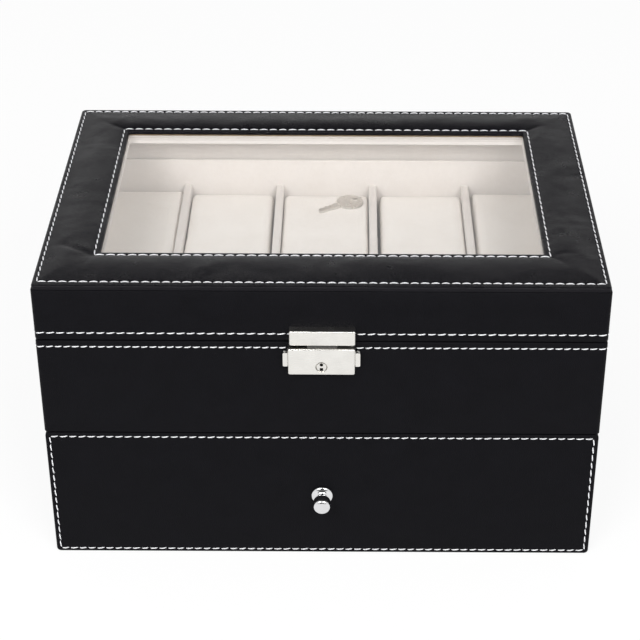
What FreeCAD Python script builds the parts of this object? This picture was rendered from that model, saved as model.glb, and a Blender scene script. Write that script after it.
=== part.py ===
import FreeCAD, Part
import math
import os
import re
import Sketcher

# Watch box: a glazed, padded lid on hinges over a tray of watch pillows, and a drawer of pillows below.
# Millimetres. +X is to the right, -Y is the front, +Z is up.
# The origin is on the table, under the middle of the case.

SIZES = (
    # the whole box, over its leather
    ("box_width", 285.0),
    ("box_depth", 200.0),
    ("case_top", 134.4),
    ("seam_gap", 0.4),
    ("leather_skin", 1.0),
    ("skin_corner", 2.0),
    ("skin_low", 0.3),
    # boards of the case
    ("felt_deep", 0.8),
    ("base_board", 5.0),
    ("wall_board", 6.0),
    ("deck_low", 80.0),
    ("deck_board", 4.0),
    ("fascia_low", 80.1),
    ("mouth_high", 79.1),
    ("notch_deep", 10.0),
    # linings of the case
    ("liner_board", 2.0),
    ("liner_top", 138.0),
    ("floor_liner", 1.2),
    # dividers, half-lapped into each other
    ("divider_board", 4.5),
    ("divider_tall", 35.8),
    ("lap_play", 0.1),
    ("tray_pitch", 54.3),
    ("drawer_pitch", 52.7),
    # watch pillows
    ("pillow_wide", 47.0),
    ("pillow_long", 84.4),
    ("pillow_tall", 33.4),
    ("pillow_edge", 4.5),
    ("pillow_crown", 1.0),
    ("pillow_shoulder", 5.0),
    ("pillow_gathered", 3.4),
    ("pillow_turn", 1.0),
    ("pillow_seat", 0.1),
    # lid
    ("rail_board", 5.0),
    ("rail_top", 158.8),
    ("frame_board", 4.6),
    ("lid_suede", 0.7),
    ("window_half", 111.9),
    ("window_front", 66.1),
    ("window_back", 72.1),
    ("glass_sheet", 1.9),
    ("glass_lap", 5.0),
    ("cover_low", 163.6),
    ("cover_inset", 0.5),
    ("cover_card", 1.0),
    ("cover_edge", 166.0),
    ("cover_skin", 0.8),
    ("cover_round", 1.0),
    ("pad_low", 165.2),
    ("seam_inset", 2.4),
    ("seam_front", 3.8),
    ("window_seam", 2.7),
    ("pad_crown", 0.9),
    # hinges
    ("hinge_place", 95.0),
    ("hinge_long", 22.0),
    ("hinge_reach", 2.3),
    ("knuckle_round", 2.0),
    ("knuckle_long", 7.6),
    ("pin_round", 0.8),
    ("pin_play", 0.05),
    ("leaf_sheet", 1.1),
    ("leaf_wide", 8.3),
    ("hinge_pilot", 0.72),
    ("pilot_deep", 6.2),
    ("screw_set", 0.4),
    # lock
    ("lock_half", 16.75),
    ("lock_low", 117.8),
    ("lock_high", 133.0),
    ("lock_proud", 4.8),
    ("lock_sheet", 0.7),
    ("plug_high", 122.6),
    ("plug_round", 2.9),
    ("plug_play", 0.07),
    ("ear_half", 19.3),
    ("ear_low", 122.0),
    ("ear_high", 129.9),
    ("latch_travel", 3.0),
    ("nose_low", 129.1),
    ("nose_high", 131.5),
    ("hook_low", 127.5),
    ("hook_eye_low", 128.5),
    ("hook_eye_high", 131.8),
    ("striker_half", 16.4),
    ("striker_low", 135.0),
    ("striker_high", 143.4),
    ("striker_shift", 0.4),
    ("striker_screw_out", 11.0),
    ("striker_screw_high", 139.6),
    ("lock_screw_out", 12.0),
    ("lock_screw_high", 126.9),
    ("lock_pilot", 0.82),
    ("striker_pilot", 0.9),
    ("lock_plate_sheet", 0.8),
    ("slide_sheet", 0.8),
    ("ear_thick", 2.4),
    # drawer
    ("drawer_low", 0.3),
    ("drawer_high", 78.2),
    ("drawer_side_top", 66.0),
    ("drawer_front_board", 7.0),
    ("drawer_side_board", 4.0),
    ("drawer_play", 0.8),
    ("drawer_back", 90.0),
    ("drawer_floor", 6.8),
    ("drawer_ply", 3.0),
    ("drawer_suede", 1.0),
    ("drawer_wrap", 0.8),
    ("drawer_inset", 0.15),
    ("drawer_corner", 2.6),
    ("knob_high", 39.2),
)

document = FreeCAD.newDocument("watch_box")
sheet = document.addObject("Spreadsheet::Sheet", "Sizes")
for line, (alias, number) in enumerate(SIZES, start=1):
    sheet.set("A%d" % line, alias)
    sheet.set("B%d" % line, str(number))
    sheet.setAlias("B%d" % line, alias)
document.recompute()

Vector = FreeCAD.Vector
Rotation = FreeCAD.Rotation
finished = []

# Planes of the case, from the outside in, as formulas of the sizes
SIDE_SKIN = "(box_width / 2)"
SIDE_BOARD = "(box_width / 2 - leather_skin)"
SIDE_INNER = "(box_width / 2 - leather_skin - wall_board)"
SIDE_LINED = "(box_width / 2 - leather_skin - wall_board - liner_board)"
END_SKIN = "(box_depth / 2)"
END_BOARD = "(box_depth / 2 - leather_skin)"
END_INNER = "(box_depth / 2 - leather_skin - wall_board)"
END_LINED = "(box_depth / 2 - leather_skin - wall_board - liner_board)"
WALL_TOP = "(case_top - leather_skin)"
TRAY_FLOOR = "(deck_low + deck_board + floor_liner)"
NOTCH = "-(box_depth / 2 - notch_deep)"
AHEAD = "-(box_depth / 2 + 1)"

# Planes of the drawer
DRAWER_SIDE = "(box_width / 2 - leather_skin - wall_board - drawer_play)"
DRAWER_INNER = "(box_width / 2 - leather_skin - wall_board - drawer_play - drawer_side_board)"
FRONT_BACK = "(box_depth / 2 - leather_skin - drawer_front_board)"
DRAWER_END = "(drawer_back - drawer_side_board)"
PLY_TOP = "(drawer_floor + drawer_ply)"
DRAWER_BED = "(drawer_floor + drawer_ply + drawer_suede)"

# Planes of the lid
LID_BOTTOM = "(case_top + seam_gap)"
RAIL_BOTTOM = "(case_top + seam_gap + leather_skin)"
RAIL_SIDE = "(box_width / 2 - leather_skin - rail_board)"
RAIL_END = "(box_depth / 2 - leather_skin - rail_board)"
LID_SIDE_LINED = "(box_width / 2 - leather_skin - rail_board - lid_suede)"
LID_END_LINED = "(box_depth / 2 - leather_skin - rail_board - lid_suede)"
FRAME_TOP = "(rail_top + frame_board)"

# Hinge line, behind the back skin at the height of the seam
HINGE_BACK = "(box_depth / 2 + hinge_reach)"
HINGE_HIGH = "(case_top + seam_gap / 2)"
HINGE_SCREW = "(box_depth / 2 - leather_skin - wall_board / 2 + screw_set)"

# Planes of the lock, in front of the leather
LOCK_PLATE = "-(box_depth / 2 + lock_plate_sheet)"
LOCK_SLIDE = "-(box_depth / 2 + lock_plate_sheet + 0.1)"

# How a turned piece lies: which way its own +Z looks, or for a screw which way it is driven
TURNS = {"X": Rotation(Vector(0, 1, 0), 90), "front": Rotation(Vector(1, 0, 0), 90),
         "back": Rotation(Vector(1, 0, 0), -90), "down": Rotation(), "up": Rotation(Vector(1, 0, 0), 180)}


# How a formula, a size and a place are bound to the sheet

def bound(formula):
    """The formula with each size's name led by the sheet's."""
    return re.sub(r"[a-z][a-z_]+", lambda found: "Sizes." + found.group(0), formula)


def size(alias):
    return float(sheet.get(alias))


def minus(formula):
    return "-(%s)" % formula


def between(span):
    return "(%s) - (%s)" % (span[1], span[0])


def bind(thing, setting, formula):
    thing.setExpression(setting, bound(formula))


def place(thing, x, y, z):
    bind(thing, "Placement.Base.x", x)
    bind(thing, "Placement.Base.y", y)
    bind(thing, "Placement.Base.z", z)


def finish(thing):
    """Marks a sub-part as finished: its label names its file."""
    finished.append(thing)
    return thing


# How a body, a sketch and a feature are made

def new_body(label):
    body = document.addObject("PartDesign::Body", label)
    body.Label = label
    return body


def origin_of(body, role):
    return [item for item in body.Origin.OriginFeatures if item.Role == role][0]


def new_sketch(body, name, role, lift="0"):
    """A sketch on one of the body's own planes, lifted along that plane's normal."""
    sketch = body.newObject("Sketcher::SketchObject", name)
    sketch.AttachmentSupport = (origin_of(body, role), [""])
    sketch.MapMode = "FlatFace"
    if lift != "0":
        bind(sketch, "AttachmentOffset.Base.z", lift)
    return sketch


def polygon(sketch, corners):
    """A closed outline through corners, each a pair of formulas measured from the sketch's origin."""
    first = sketch.GeometryCount
    count = len(corners)
    for step in range(count):
        start = Vector(math.cos(math.tau * step / count), math.sin(math.tau * step / count), 0)
        end = Vector(math.cos(math.tau * (step + 1) / count), math.sin(math.tau * (step + 1) / count), 0)
        sketch.addGeometry(Part.LineSegment(start, end))
    for step in range(count):
        following = first + (step + 1) % count
        sketch.addConstraint(Sketcher.Constraint("Coincident", first + step, 2, following, 1))
    for step, (across, up) in enumerate(corners):
        for kind, formula in (("DistanceX", across), ("DistanceY", up)):
            if formula == "0":
                axis = -2 if kind == "DistanceX" else -1
                sketch.addConstraint(Sketcher.Constraint("PointOnObject", first + step, 1, axis))
            else:
                limit = Sketcher.Constraint(kind, -1, 1, first + step, 1, 1.0)
                number = sketch.addConstraint(limit)
                sketch.setExpression("Constraints[%d]" % number, bound(formula))


def rectangle(sketch, across, up):
    low, high = across
    bottom, top = up
    polygon(sketch, ((low, bottom), (high, bottom), (high, top), (low, top)))


def circle(sketch, across, up, radius):
    number = sketch.addGeometry(Part.Circle(Vector(1, 1, 0), Vector(0, 0, 1), 1))
    for kind, formula in (("DistanceX", across), ("DistanceY", up)):
        if formula == "0":
            axis = -2 if kind == "DistanceX" else -1
            sketch.addConstraint(Sketcher.Constraint("PointOnObject", number, 3, axis))
        else:
            limit = sketch.addConstraint(Sketcher.Constraint(kind, -1, 1, number, 3, 1.0))
            sketch.setExpression("Constraints[%d]" % limit, bound(formula))
    limit = sketch.addConstraint(Sketcher.Constraint("Radius", number, 1.0))
    sketch.setExpression("Constraints[%d]" % limit, bound(radius))


def pad(body, sketch, length, name="thickness"):
    feature = body.newObject("PartDesign::Pad", name)
    feature.Profile = sketch
    bind(feature, "Length", length)
    return feature


def pocket(body, sketch, length, name="recess", flipped=False, both_ways=False):
    """A cut that has to take material away, so its volume is compared."""
    document.recompute()
    before = body.Shape.Volume
    feature = body.newObject("PartDesign::Pocket", name)
    feature.Profile = sketch
    feature.Reversed = flipped
    feature.Midplane = both_ways
    bind(feature, "Length", length)
    document.recompute()
    if body.Shape.Volume > before - 0.001:
        raise RuntimeError("%s cuts nothing from %s" % (name, body.Label))
    return feature


def repeat(body, feature, role, length, count, name="row"):
    pattern = body.newObject("PartDesign::LinearPattern", name)
    pattern.Originals = [feature]
    pattern.Direction = (origin_of(body, role), [""])
    bind(pattern, "Length", length)
    pattern.Occurrences = count
    body.Tip = pattern
    return pattern


def soften(body, radius, wanted, kind="PartDesign::Fillet", name="rounding"):
    """Rounds, or chamfers, the edges of a body that pass the test."""
    document.recompute()
    base = body.Tip
    edges = enumerate(base.Shape.Edges, start=1)
    names = ["Edge%d" % number for number, edge in edges if wanted(edge.BoundBox)]
    feature = body.newObject(kind, name)
    feature.Base = (base, names)
    bind(feature, "Size" if kind.endswith("Chamfer") else "Radius", radius)
    document.recompute()
    if "Invalid" in feature.State or not names:
        raise RuntimeError("%s fails on %d edges of %s" % (name, len(names), body.Label))
    return feature


def upright(bounds):
    return bounds.ZLength > 0.5 and bounds.XLength + bounds.YLength < 0.001


def board(label, x, y, z):
    """A board between two planes on each axis."""
    body = new_body(label)
    place(body, x[0], y[0], z[0])
    outline = new_sketch(body, "outline", "XY_Plane")
    rectangle(outline, ("0", between(x)), ("0", between(y)))
    pad(body, outline, between(z))
    return body


def drill(body, x, z, radius, depth, name="bore"):
    """A round hole from the body's front, at a place measured in the body's own frame."""
    outline = new_sketch(body, name + "_circle", "XZ_Plane")
    circle(outline, x, z, radius)
    return pocket(body, outline, depth, name)


def block(name, x, y, z):
    solid = document.addObject("Part::Box", name)
    bind(solid, "Length", between(x))
    bind(solid, "Width", between(y))
    bind(solid, "Height", between(z))
    place(solid, x[0], y[0], z[0])
    return solid


def rod(name, radius, length, x, y, z, along="Z"):
    solid = document.addObject("Part::Cylinder", name)
    bind(solid, "Radius", radius)
    bind(solid, "Height", length)
    turns = {"X": Rotation(Vector(0, 1, 0), 90), "Y": Rotation(Vector(1, 0, 0), -90), "Z": Rotation()}
    solid.Placement.Rotation = turns[along]
    place(solid, x, y, z)
    return solid


def joined(label, pieces):
    union = document.addObject("Part::MultiFuse", label)
    union.Label = label
    union.Shapes = pieces
    return union


def less(label, base, tools):
    """The base with one or more tools cut away."""
    result = document.addObject("Part::Cut", label)
    result.Label = label
    result.Base = base
    result.Tool = tools[0] if len(tools) == 1 else joined(label + "_tools", tools)
    return result


def set_of(label, pieces):
    """Separate solids of one kind, kept together as one sub-part."""
    group = document.addObject("Part::Compound", label)
    group.Label = label
    group.Links = pieces
    return group


def turned(label, profile, along):
    """A body of revolution from a profile of (radius, height) pairs, turned about its own axis."""
    body = new_body(label)
    outline = new_sketch(body, "half_section", "XZ_Plane")
    polygon(outline, [(str(radius), str(height)) for radius, height in profile])
    feature = body.newObject("PartDesign::Revolution", "turning")
    feature.Profile = outline
    feature.ReferenceAxis = (outline, ["V_Axis"])
    feature.Angle = 360
    body.Placement.Rotation = TURNS[along]
    return body


def screw(label, head, shank, length, along):
    """A countersunk wood screw with its head's face at the origin."""
    profile = ((0, 0), (head, 0), (shank, shank - head), (shank, -length), (0, -length))
    return turned(label, profile, along)


# Case boards

def case_base():
    finish(board("base_felt", (minus(SIDE_BOARD), SIDE_BOARD), (NOTCH, END_BOARD),
                 ("0", "felt_deep")))
    finish(board("case_base", (minus(SIDE_INNER), SIDE_INNER), (NOTCH, END_INNER),
                 ("felt_deep", "felt_deep + base_board")))
    finish(board("tray_deck", (minus(SIDE_INNER), SIDE_INNER), (minus(END_INNER), END_INNER),
                 ("deck_low", "deck_low + deck_board")))


def case_side(label, low_x):
    """A side board, notched at the front so that the drawer's front laps over its edge."""
    body = new_body(label)
    place(body, low_x, "0", "0")
    outline = new_sketch(body, "outline", "YZ_Plane")
    polygon(outline, ((NOTCH, "felt_deep"), (END_BOARD, "felt_deep"), (END_BOARD, WALL_TOP),
                      (minus(END_BOARD), WALL_TOP), (minus(END_BOARD), "fascia_low"), (NOTCH, "fascia_low")))
    pad(body, outline, "wall_board")
    return finish(body)


def case_back():
    """The back board, with pilot holes for the hinge screws in its top edge."""
    body = board("case_back_wall", (minus(SIDE_INNER), SIDE_INNER), (END_INNER, END_BOARD),
                 ("felt_deep", WALL_TOP))
    top = new_sketch(body, "pilot_circles", "XY_Plane", "(%s) - felt_deep" % WALL_TOP)
    for side in (-1, 1):
        for reach in (-1, 1):
            across = "(%s) + %d * hinge_place + %d * hinge_long / 4" % (SIDE_INNER, side, reach)
            circle(top, across, "wall_board / 2 + screw_set", "hinge_pilot")
    pocket(body, top, "pilot_deep", "pilots")
    return finish(body)


def case_front():
    """The fascia between the drawer and the lid, with pilot holes behind the lock."""
    body = board("case_front_fascia", (minus(SIDE_INNER), SIDE_INNER), (minus(END_BOARD), minus(END_INNER)),
                 ("fascia_low", WALL_TOP))
    for side in (-1, 1):
        drill(body, "(%s) + %d * lock_screw_out" % (SIDE_INNER, side), "lock_screw_high - fascia_low",
              "lock_pilot", "5.2", "lock_bore")
    return finish(body)


def case_skin():
    """The leather over the outside and top edges of the case, open at the drawer and over the lining."""
    whole = board("case_skin_whole", (minus(SIDE_SKIN), SIDE_SKIN), (minus(END_SKIN), END_SKIN),
                  ("skin_low", "case_top"))
    soften(whole, "skin_corner", upright)
    tools = [
        block("skin_behind_drawer", (minus(SIDE_BOARD), SIDE_BOARD), (NOTCH, END_BOARD),
              ("-1", "fascia_low")),
        block("skin_around_boards", (minus(SIDE_BOARD), SIDE_BOARD), (minus(END_BOARD), END_BOARD),
              ("fascia_low", WALL_TOP)),
        block("skin_over_tray", (minus(SIDE_INNER), SIDE_INNER), (minus(END_INNER), END_INNER),
              ("-1", "case_top + 1")),
        block("skin_drawer_mouth", ("-(box_width / 2 + 1)", "box_width / 2 + 1"),
              (AHEAD, NOTCH + " - 1"), ("-1", "mouth_high")),
    ]
    for number, side in enumerate((-1, 1)):
        middle = "%d * hinge_place" % side
        tools.append(block("skin_hinge_seat_%d" % number,
                           (middle + " - hinge_long / 2 - 0.15", middle + " + hinge_long / 2 + 0.15"),
                           (END_LINED, "box_depth / 2 + 1"), (WALL_TOP, "case_top + 1")))
        tools.append(rod("skin_lock_hole_%d" % number, "lock_pilot", "3", "%d * lock_screw_out" % side,
                         AHEAD, "lock_screw_high", "Y"))
    return finish(less("case_leather", whole, tools))


# Linings and dividers

def case_linings():
    """Four wrapped cards that stand above the seam as a lip, and a sheet on the tray's floor."""
    deck_top = "deck_low + deck_board"
    cards = []
    for side, low, high in (("left", minus(SIDE_INNER), minus(SIDE_LINED)),
                            ("right", SIDE_LINED, SIDE_INNER)):
        cards.append(board("tray_card_" + side, (low, high), (minus(END_INNER), END_INNER),
                           (deck_top, "liner_top")))
    for side, low, high in (("front", minus(END_INNER), minus(END_LINED)), ("back", END_LINED, END_INNER)):
        cards.append(board("tray_card_" + side, (minus(SIDE_LINED), SIDE_LINED), (low, high),
                           (deck_top, "liner_top")))
    for card in cards:
        longest = 100
        top = size("liner_top") - size("deck_low") - size("deck_board")
        soften(card, "liner_board / 3",
               lambda box: box.ZMin > top - 0.01 and max(box.XLength, box.YLength) > longest)
    finish(set_of("tray_wall_lining", cards))
    finish(board("tray_floor_lining", (minus(SIDE_LINED), SIDE_LINED), (minus(END_LINED), END_LINED),
                 (deck_top, TRAY_FLOOR)))


def lattice(name, half_x, low_y, high_y, floor, pitch):
    """A long divider slotted from above, and four short ones slotted from below, lapped into it."""
    middle = "((%s) + (%s)) / 2" % (low_y, high_y)
    half = "divider_board / 2"
    long_one = board(name + "_long_divider", ("-(%s) + lap_play" % half_x, "(%s) - lap_play" % half_x),
                     ("%s - %s" % (middle, half), "%s + %s" % (middle, half)),
                     (floor, "(%s) + divider_tall" % floor))
    slot = new_sketch(long_one, "slot_outline", "XZ_Plane")
    first = "(%s) - lap_play - 1.5 * %s" % (half_x, pitch)
    rectangle(slot, ("%s - %s - lap_play" % (first, half), "%s + %s + lap_play" % (first, half)),
              ("divider_tall / 2", "divider_tall + 1"))
    cut = pocket(long_one, slot, "4 * divider_board", "slot", both_ways=True)
    repeat(long_one, cut, "X_Axis", "3 * %s" % pitch, 4, "slots")
    finish(long_one)
    short_ones = []
    for number in range(4):
        centre = "%s * %s" % (number - 1.5, pitch)
        short = board("%s_short_divider_%d" % (name, number + 1),
                      ("%s - %s" % (centre, half), "%s + %s" % (centre, half)),
                      ("(%s) + lap_play" % low_y, "(%s) - lap_play" % high_y),
                      (floor, "(%s) + divider_tall" % floor))
        slot = new_sketch(short, "slot_outline", "YZ_Plane")
        crossing = "%s - (%s) - lap_play" % (middle, low_y)
        rectangle(slot, ("%s - %s - lap_play" % (crossing, half), "%s + %s + lap_play" % (crossing, half)),
                  ("-1", "divider_tall / 2"))
        pocket(short, slot, "4 * divider_board", "slot", both_ways=True)
        short_ones.append(short)
    finish(set_of(name + "_short_dividers", short_ones))


# Watch pillows

def pillow_section(body, name, station, drawn):
    """One cross-section of a pillow: a flat bottom, soft corners and a full top, drawn in by an amount."""
    half = size("pillow_wide") / 2 - drawn
    low = drawn * 0.8
    high = size("pillow_tall") - drawn
    edge = size("pillow_edge")
    right = []
    for centre_z, turns in ((low + edge, (-90, -60, -30, 0)), (high - edge, (0, 30, 60, 90))):
        for turn in turns:
            angle = math.radians(turn)
            right.append((half - edge + edge * math.cos(angle), centre_z + edge * math.sin(angle)))
    right.append((half - edge - size("pillow_shoulder"), high + size("pillow_crown")))
    left = [(-across, up) for across, up in reversed(right)]
    corners = [Vector(across, up, 0) for across, up in right + left]
    sketch = new_sketch(body, name, "XZ_Plane", "-(%s)" % station)
    for step, start in enumerate(corners):
        sketch.addGeometry(Part.LineSegment(start, corners[(step + 1) % len(corners)]))
    for step in range(len(corners)):
        sketch.addConstraint(Sketcher.Constraint("Coincident", step, 2, (step + 1) % len(corners), 1))
        sketch.addConstraint(Sketcher.Constraint("Block", step))
    return sketch


def pillow(label, x, y, z):
    """A stuffed pillow: its ends are drawn in and its top swells up to a flat."""
    body = new_body(label)
    place(body, x, "(%s) - pillow_long / 2" % y, z)
    gathered, turned_in = size("pillow_gathered"), size("pillow_turn")
    sections = [pillow_section(body, "front_end", "0", gathered),
                pillow_section(body, "front_turn", "pillow_turn", turned_in),
                pillow_section(body, "front_swell", "pillow_gathered", 0.0),
                pillow_section(body, "back_swell", "pillow_long - pillow_gathered", 0.0),
                pillow_section(body, "back_turn", "pillow_long - pillow_turn", turned_in),
                pillow_section(body, "back_end", "pillow_long", gathered)]
    form = body.newObject("PartDesign::AdditiveLoft", "stuffing")
    form.Profile = sections[0]
    form.Sections = sections[1:]
    form.Ruled = True
    return body


def pillows():
    tray_row = "((%s) + divider_board / 2) / 2" % END_LINED
    for row, side in enumerate((-1, 1)):
        for column in range(5):
            number = row * 5 + column + 1
            finish(pillow("tray_pillow_%d" % number, "%d * tray_pitch" % (column - 2),
                          "%d * %s" % (side, tray_row), "%s + pillow_seat" % TRAY_FLOOR))
    low, high = "-(%s) + drawer_suede" % FRONT_BACK, "(%s) - drawer_suede" % DRAWER_END
    middle = "((%s) + (%s)) / 2" % (low, high)
    drawer_row = "((%s) - (%s) + divider_board) / 4" % (high, low)
    group = []
    for row, side in enumerate((-1, 1)):
        for column in range(5):
            number = row * 5 + column + 1
            group.append(pillow("drawer_pillow_%d" % number, "%d * drawer_pitch" % (column - 2),
                                "%s + %d * %s" % (middle, side, drawer_row), "%s + pillow_seat" % DRAWER_BED))
    finish(set_of("drawer_pillows", group))


# Lid

def lid_rails():
    """Four rails under the window frame; the back one takes the hinge screws, the front one the striker's."""
    front = board("lid_front_rail", (minus(RAIL_SIDE), RAIL_SIDE), (minus(END_BOARD), minus(RAIL_END)),
                  (RAIL_BOTTOM, "rail_top"))
    for side in (-1, 1):
        across = "(%s) + striker_shift + %d * striker_screw_out" % (RAIL_SIDE, side)
        drill(front, across, "striker_screw_high - (%s)" % RAIL_BOTTOM, "striker_pilot",
              "rail_board + 1", "striker_hole")
        sink = new_sketch(front, "striker_sink_circle", "XZ_Plane", "-(rail_board - 1.1)")
        circle(sink, across, "striker_screw_high - (%s)" % RAIL_BOTTOM, "1.75")
        pocket(front, sink, "rail_board", "striker_sink")
    finish(front)
    back = board("lid_back_rail", (minus(RAIL_SIDE), RAIL_SIDE), (RAIL_END, END_BOARD),
                 (RAIL_BOTTOM, "rail_top"))
    base = new_sketch(back, "pilot_circles", "XY_Plane")
    for side in (-1, 1):
        for reach in (-1, 1):
            across = "(%s) + %d * hinge_place + %d * hinge_long / 4" % (RAIL_SIDE, side, reach)
            circle(base, across, "%s - (%s)" % (HINGE_SCREW, RAIL_END), "hinge_pilot")
    pocket(back, base, "pilot_deep", "pilots", flipped=True)
    finish(back)
    finish(board("lid_left_rail", (minus(SIDE_BOARD), minus(RAIL_SIDE)), (minus(END_BOARD), END_BOARD),
                 (RAIL_BOTTOM, "rail_top")))
    finish(board("lid_right_rail", (RAIL_SIDE, SIDE_BOARD), (minus(END_BOARD), END_BOARD),
                 (RAIL_BOTTOM, "rail_top")))


def window_span(grow):
    """The window's opening, grown on every side, as spans across and along the lid."""
    across = ("-(window_half + %s)" % grow, "window_half + %s" % grow)
    along = ("-(window_front + %s)" % grow, "window_back + %s" % grow)
    return across, along


def shifted(span, origin):
    """A span measured from another plane."""
    return tuple("(%s) - (%s)" % (end, origin) for end in span)


def lid_frame():
    """The board around the window, rebated on its upper side for the glass."""
    frame = board("lid_window_frame", (minus(SIDE_BOARD), SIDE_BOARD), (minus(END_BOARD), END_BOARD),
                  ("rail_top", FRAME_TOP))
    across, along = window_span("lid_suede")
    opening = new_sketch(frame, "window_outline", "XY_Plane")
    rectangle(opening, shifted(across, minus(SIDE_BOARD)), shifted(along, minus(END_BOARD)))
    pocket(frame, opening, "frame_board", "window", flipped=True)
    across, along = window_span("(glass_lap + 0.1)")
    rebate = new_sketch(frame, "rebate_outline", "XY_Plane", "frame_board")
    rectangle(rebate, shifted(across, minus(SIDE_BOARD)), shifted(along, minus(END_BOARD)))
    pocket(frame, rebate, "glass_sheet", "rebate")
    finish(frame)
    across, along = window_span("glass_lap")
    glass = board("lid_glass", across, along, ("%s - glass_sheet" % FRAME_TOP, FRAME_TOP))
    soften(glass, "1.5", upright)
    finish(glass)


def lid_skins():
    """The leather around the lid's rails, and the suede inside it up to the glass."""
    whole = board("lid_skin_whole", (minus(SIDE_SKIN), SIDE_SKIN), (minus(END_SKIN), END_SKIN),
                  (LID_BOTTOM, FRAME_TOP))
    soften(whole, "skin_corner", upright)
    tools = [
        block("lid_skin_boards", (minus(SIDE_BOARD), SIDE_BOARD), (minus(END_BOARD), END_BOARD),
              (RAIL_BOTTOM, "rail_top + 10")),
        block("lid_skin_mouth", (minus(LID_SIDE_LINED), LID_SIDE_LINED),
              (minus(LID_END_LINED), LID_END_LINED), ("case_top", "rail_top")),
    ]
    for number, side in enumerate((-1, 1)):
        middle = "%d * hinge_place" % side
        tools.append(block("lid_hinge_seat_%d" % number,
                           (middle + " - hinge_long / 2 - 0.15", middle + " + hinge_long / 2 + 0.15"),
                           (END_LINED, "box_depth / 2 + 1"), ("case_top", RAIL_BOTTOM)))
        tools.append(rod("lid_striker_hole_%d" % number, "striker_pilot", "3",
                         "striker_shift + %d * striker_screw_out" % side,
                         AHEAD, "striker_screw_high", "Y"))
    finish(less("lid_side_leather", whole, tools))
    outer = block("lid_suede_outer", (minus(RAIL_SIDE), RAIL_SIDE), (minus(RAIL_END), RAIL_END),
                  (RAIL_BOTTOM, "rail_top"))
    hollow = block("lid_suede_hollow", (minus(LID_SIDE_LINED), LID_SIDE_LINED),
                   (minus(LID_END_LINED), LID_END_LINED), ("case_top", "rail_top - lid_suede"))
    across, along = window_span("lid_suede")
    reveal = block("lid_suede_reveal", across, along,
                   ("rail_top - lid_suede", "%s - glass_sheet" % FRAME_TOP))
    across, along = window_span("0")
    window = block("lid_suede_window", across, along, ("case_top", FRAME_TOP))
    finish(less("lid_lining", joined("lid_suede_whole", [outer, reveal]), [hollow, window]))


def cover_line(place_name, grow=0.0):
    """A line around the cover: its distance across, and its front and back, grown or drawn in by a length."""
    edge_x = size("box_width") / 2 - size("cover_inset")
    edge_y = size("box_depth") / 2 - size("cover_inset")
    lines = {
        "edge": (edge_x - grow, -edge_y + grow, edge_y - grow),
        "outer_seam": (edge_x - size("seam_inset"), -edge_y + size("seam_front"),
                       edge_y - size("seam_inset")),
        "inner_seam": (size("window_half") + size("window_seam"), -size("window_front") - size("window_seam"),
                       size("window_back") + size("window_seam")),
        "window": (size("window_half") + grow, -size("window_front") - grow, size("window_back") + grow),
    }
    return lines[place_name]


def mitred_ring(name, outline):
    """A ring around the window, mitred at its corners, from an outline of lines, heights and bends."""
    sections = []
    for across, along in ((-1, 1), (1, 1), (1, 2), (-1, 2)):
        corners = [Vector(across * line[0], line[along], height) for line, height, bend in outline]
        edges = []
        for step, (line, height, bend) in enumerate(outline):
            start = corners[step]
            end = corners[(step + 1) % len(corners)]
            if bend is None:
                edges.append(Part.LineSegment(start, end).toShape())
            else:
                middle = Vector(across * bend[0][0], bend[0][along], bend[1])
                edges.append(Part.Arc(start, middle, end).toShape())
        sections.append(edges)
    faces = []
    for number, edges in enumerate(sections):
        following = sections[(number + 1) % len(sections)]
        for near_edge, far_edge in zip(edges, following):
            faces.append(Part.makeRuledSurface(near_edge, far_edge))
    shell = Part.Shell(faces)
    shell.sewShape()
    solid = Part.Solid(shell)
    if solid.Volume < 0:
        solid.reverse()
    ring = document.addObject("Part::Feature", name)
    ring.Shape = solid
    return ring


def halfway(first, second):
    return tuple((one + other) / 2 for one, other in zip(first, second))


def cover_leather():
    """Leather that wraps the cover's outer and window edges and swells over the pad between its seams."""
    low, top, under = size("cover_low"), size("cover_edge"), size("pad_low")
    skin, turn, crown = size("cover_skin"), size("cover_round"), size("pad_crown")
    near = turn * (1 - math.sqrt(0.5))
    outer_seam, inner_seam = cover_line("outer_seam"), cover_line("inner_seam")
    crest = halfway(outer_seam, inner_seam)
    return mitred_ring("lid_cover_skin", (
        (cover_line("edge"), low, None),
        (cover_line("edge"), top - turn, None),
        (cover_line("edge", near), top - near, None),
        (cover_line("edge", turn), top, None),
        (outer_seam, top, (crest, top + crown)),
        (inner_seam, top, None),
        (cover_line("window", turn), top, None),
        (cover_line("window", near), top - near, None),
        (cover_line("window"), top - turn, None),
        (cover_line("window"), low, None),
        (cover_line("window", skin), low, None),
        (cover_line("window", skin), under, None),
        (inner_seam, under, (crest, under + crown)),
        (outer_seam, under, None),
        (cover_line("edge", skin), under, None),
        (cover_line("edge", skin), low, None),
    ))


def cover_padding(low, high):
    crown = size("pad_crown")
    skin = size("cover_skin")
    outer_seam, inner_seam = cover_line("outer_seam"), cover_line("inner_seam")
    return mitred_ring("lid_padding", (
        (cover_line("edge", skin), low, None),
        (cover_line("edge", skin), high, None),
        (outer_seam, high, (halfway(outer_seam, inner_seam), high + crown)),
        (inner_seam, high, None),
        (cover_line("window", skin), high, None),
        (cover_line("window", skin), low, None),
    ))


def cover_layer(name, inset, z):
    """A flat frame of the cover, drawn in from its outer edge and from the window's edge."""
    outer_x = "(%s - cover_inset - %s)" % (SIDE_SKIN, inset)
    outer_y = "(%s - cover_inset - %s)" % (END_SKIN, inset)
    layer = board(name, (minus(outer_x), outer_x), (minus(outer_y), outer_y), z)
    across, along = window_span(inset)
    opening = new_sketch(layer, "window_outline", "XY_Plane")
    rectangle(opening, shifted(across, minus(outer_x)), shifted(along, minus(outer_y)))
    pocket(layer, opening, "10", "window", flipped=True)
    return layer


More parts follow.
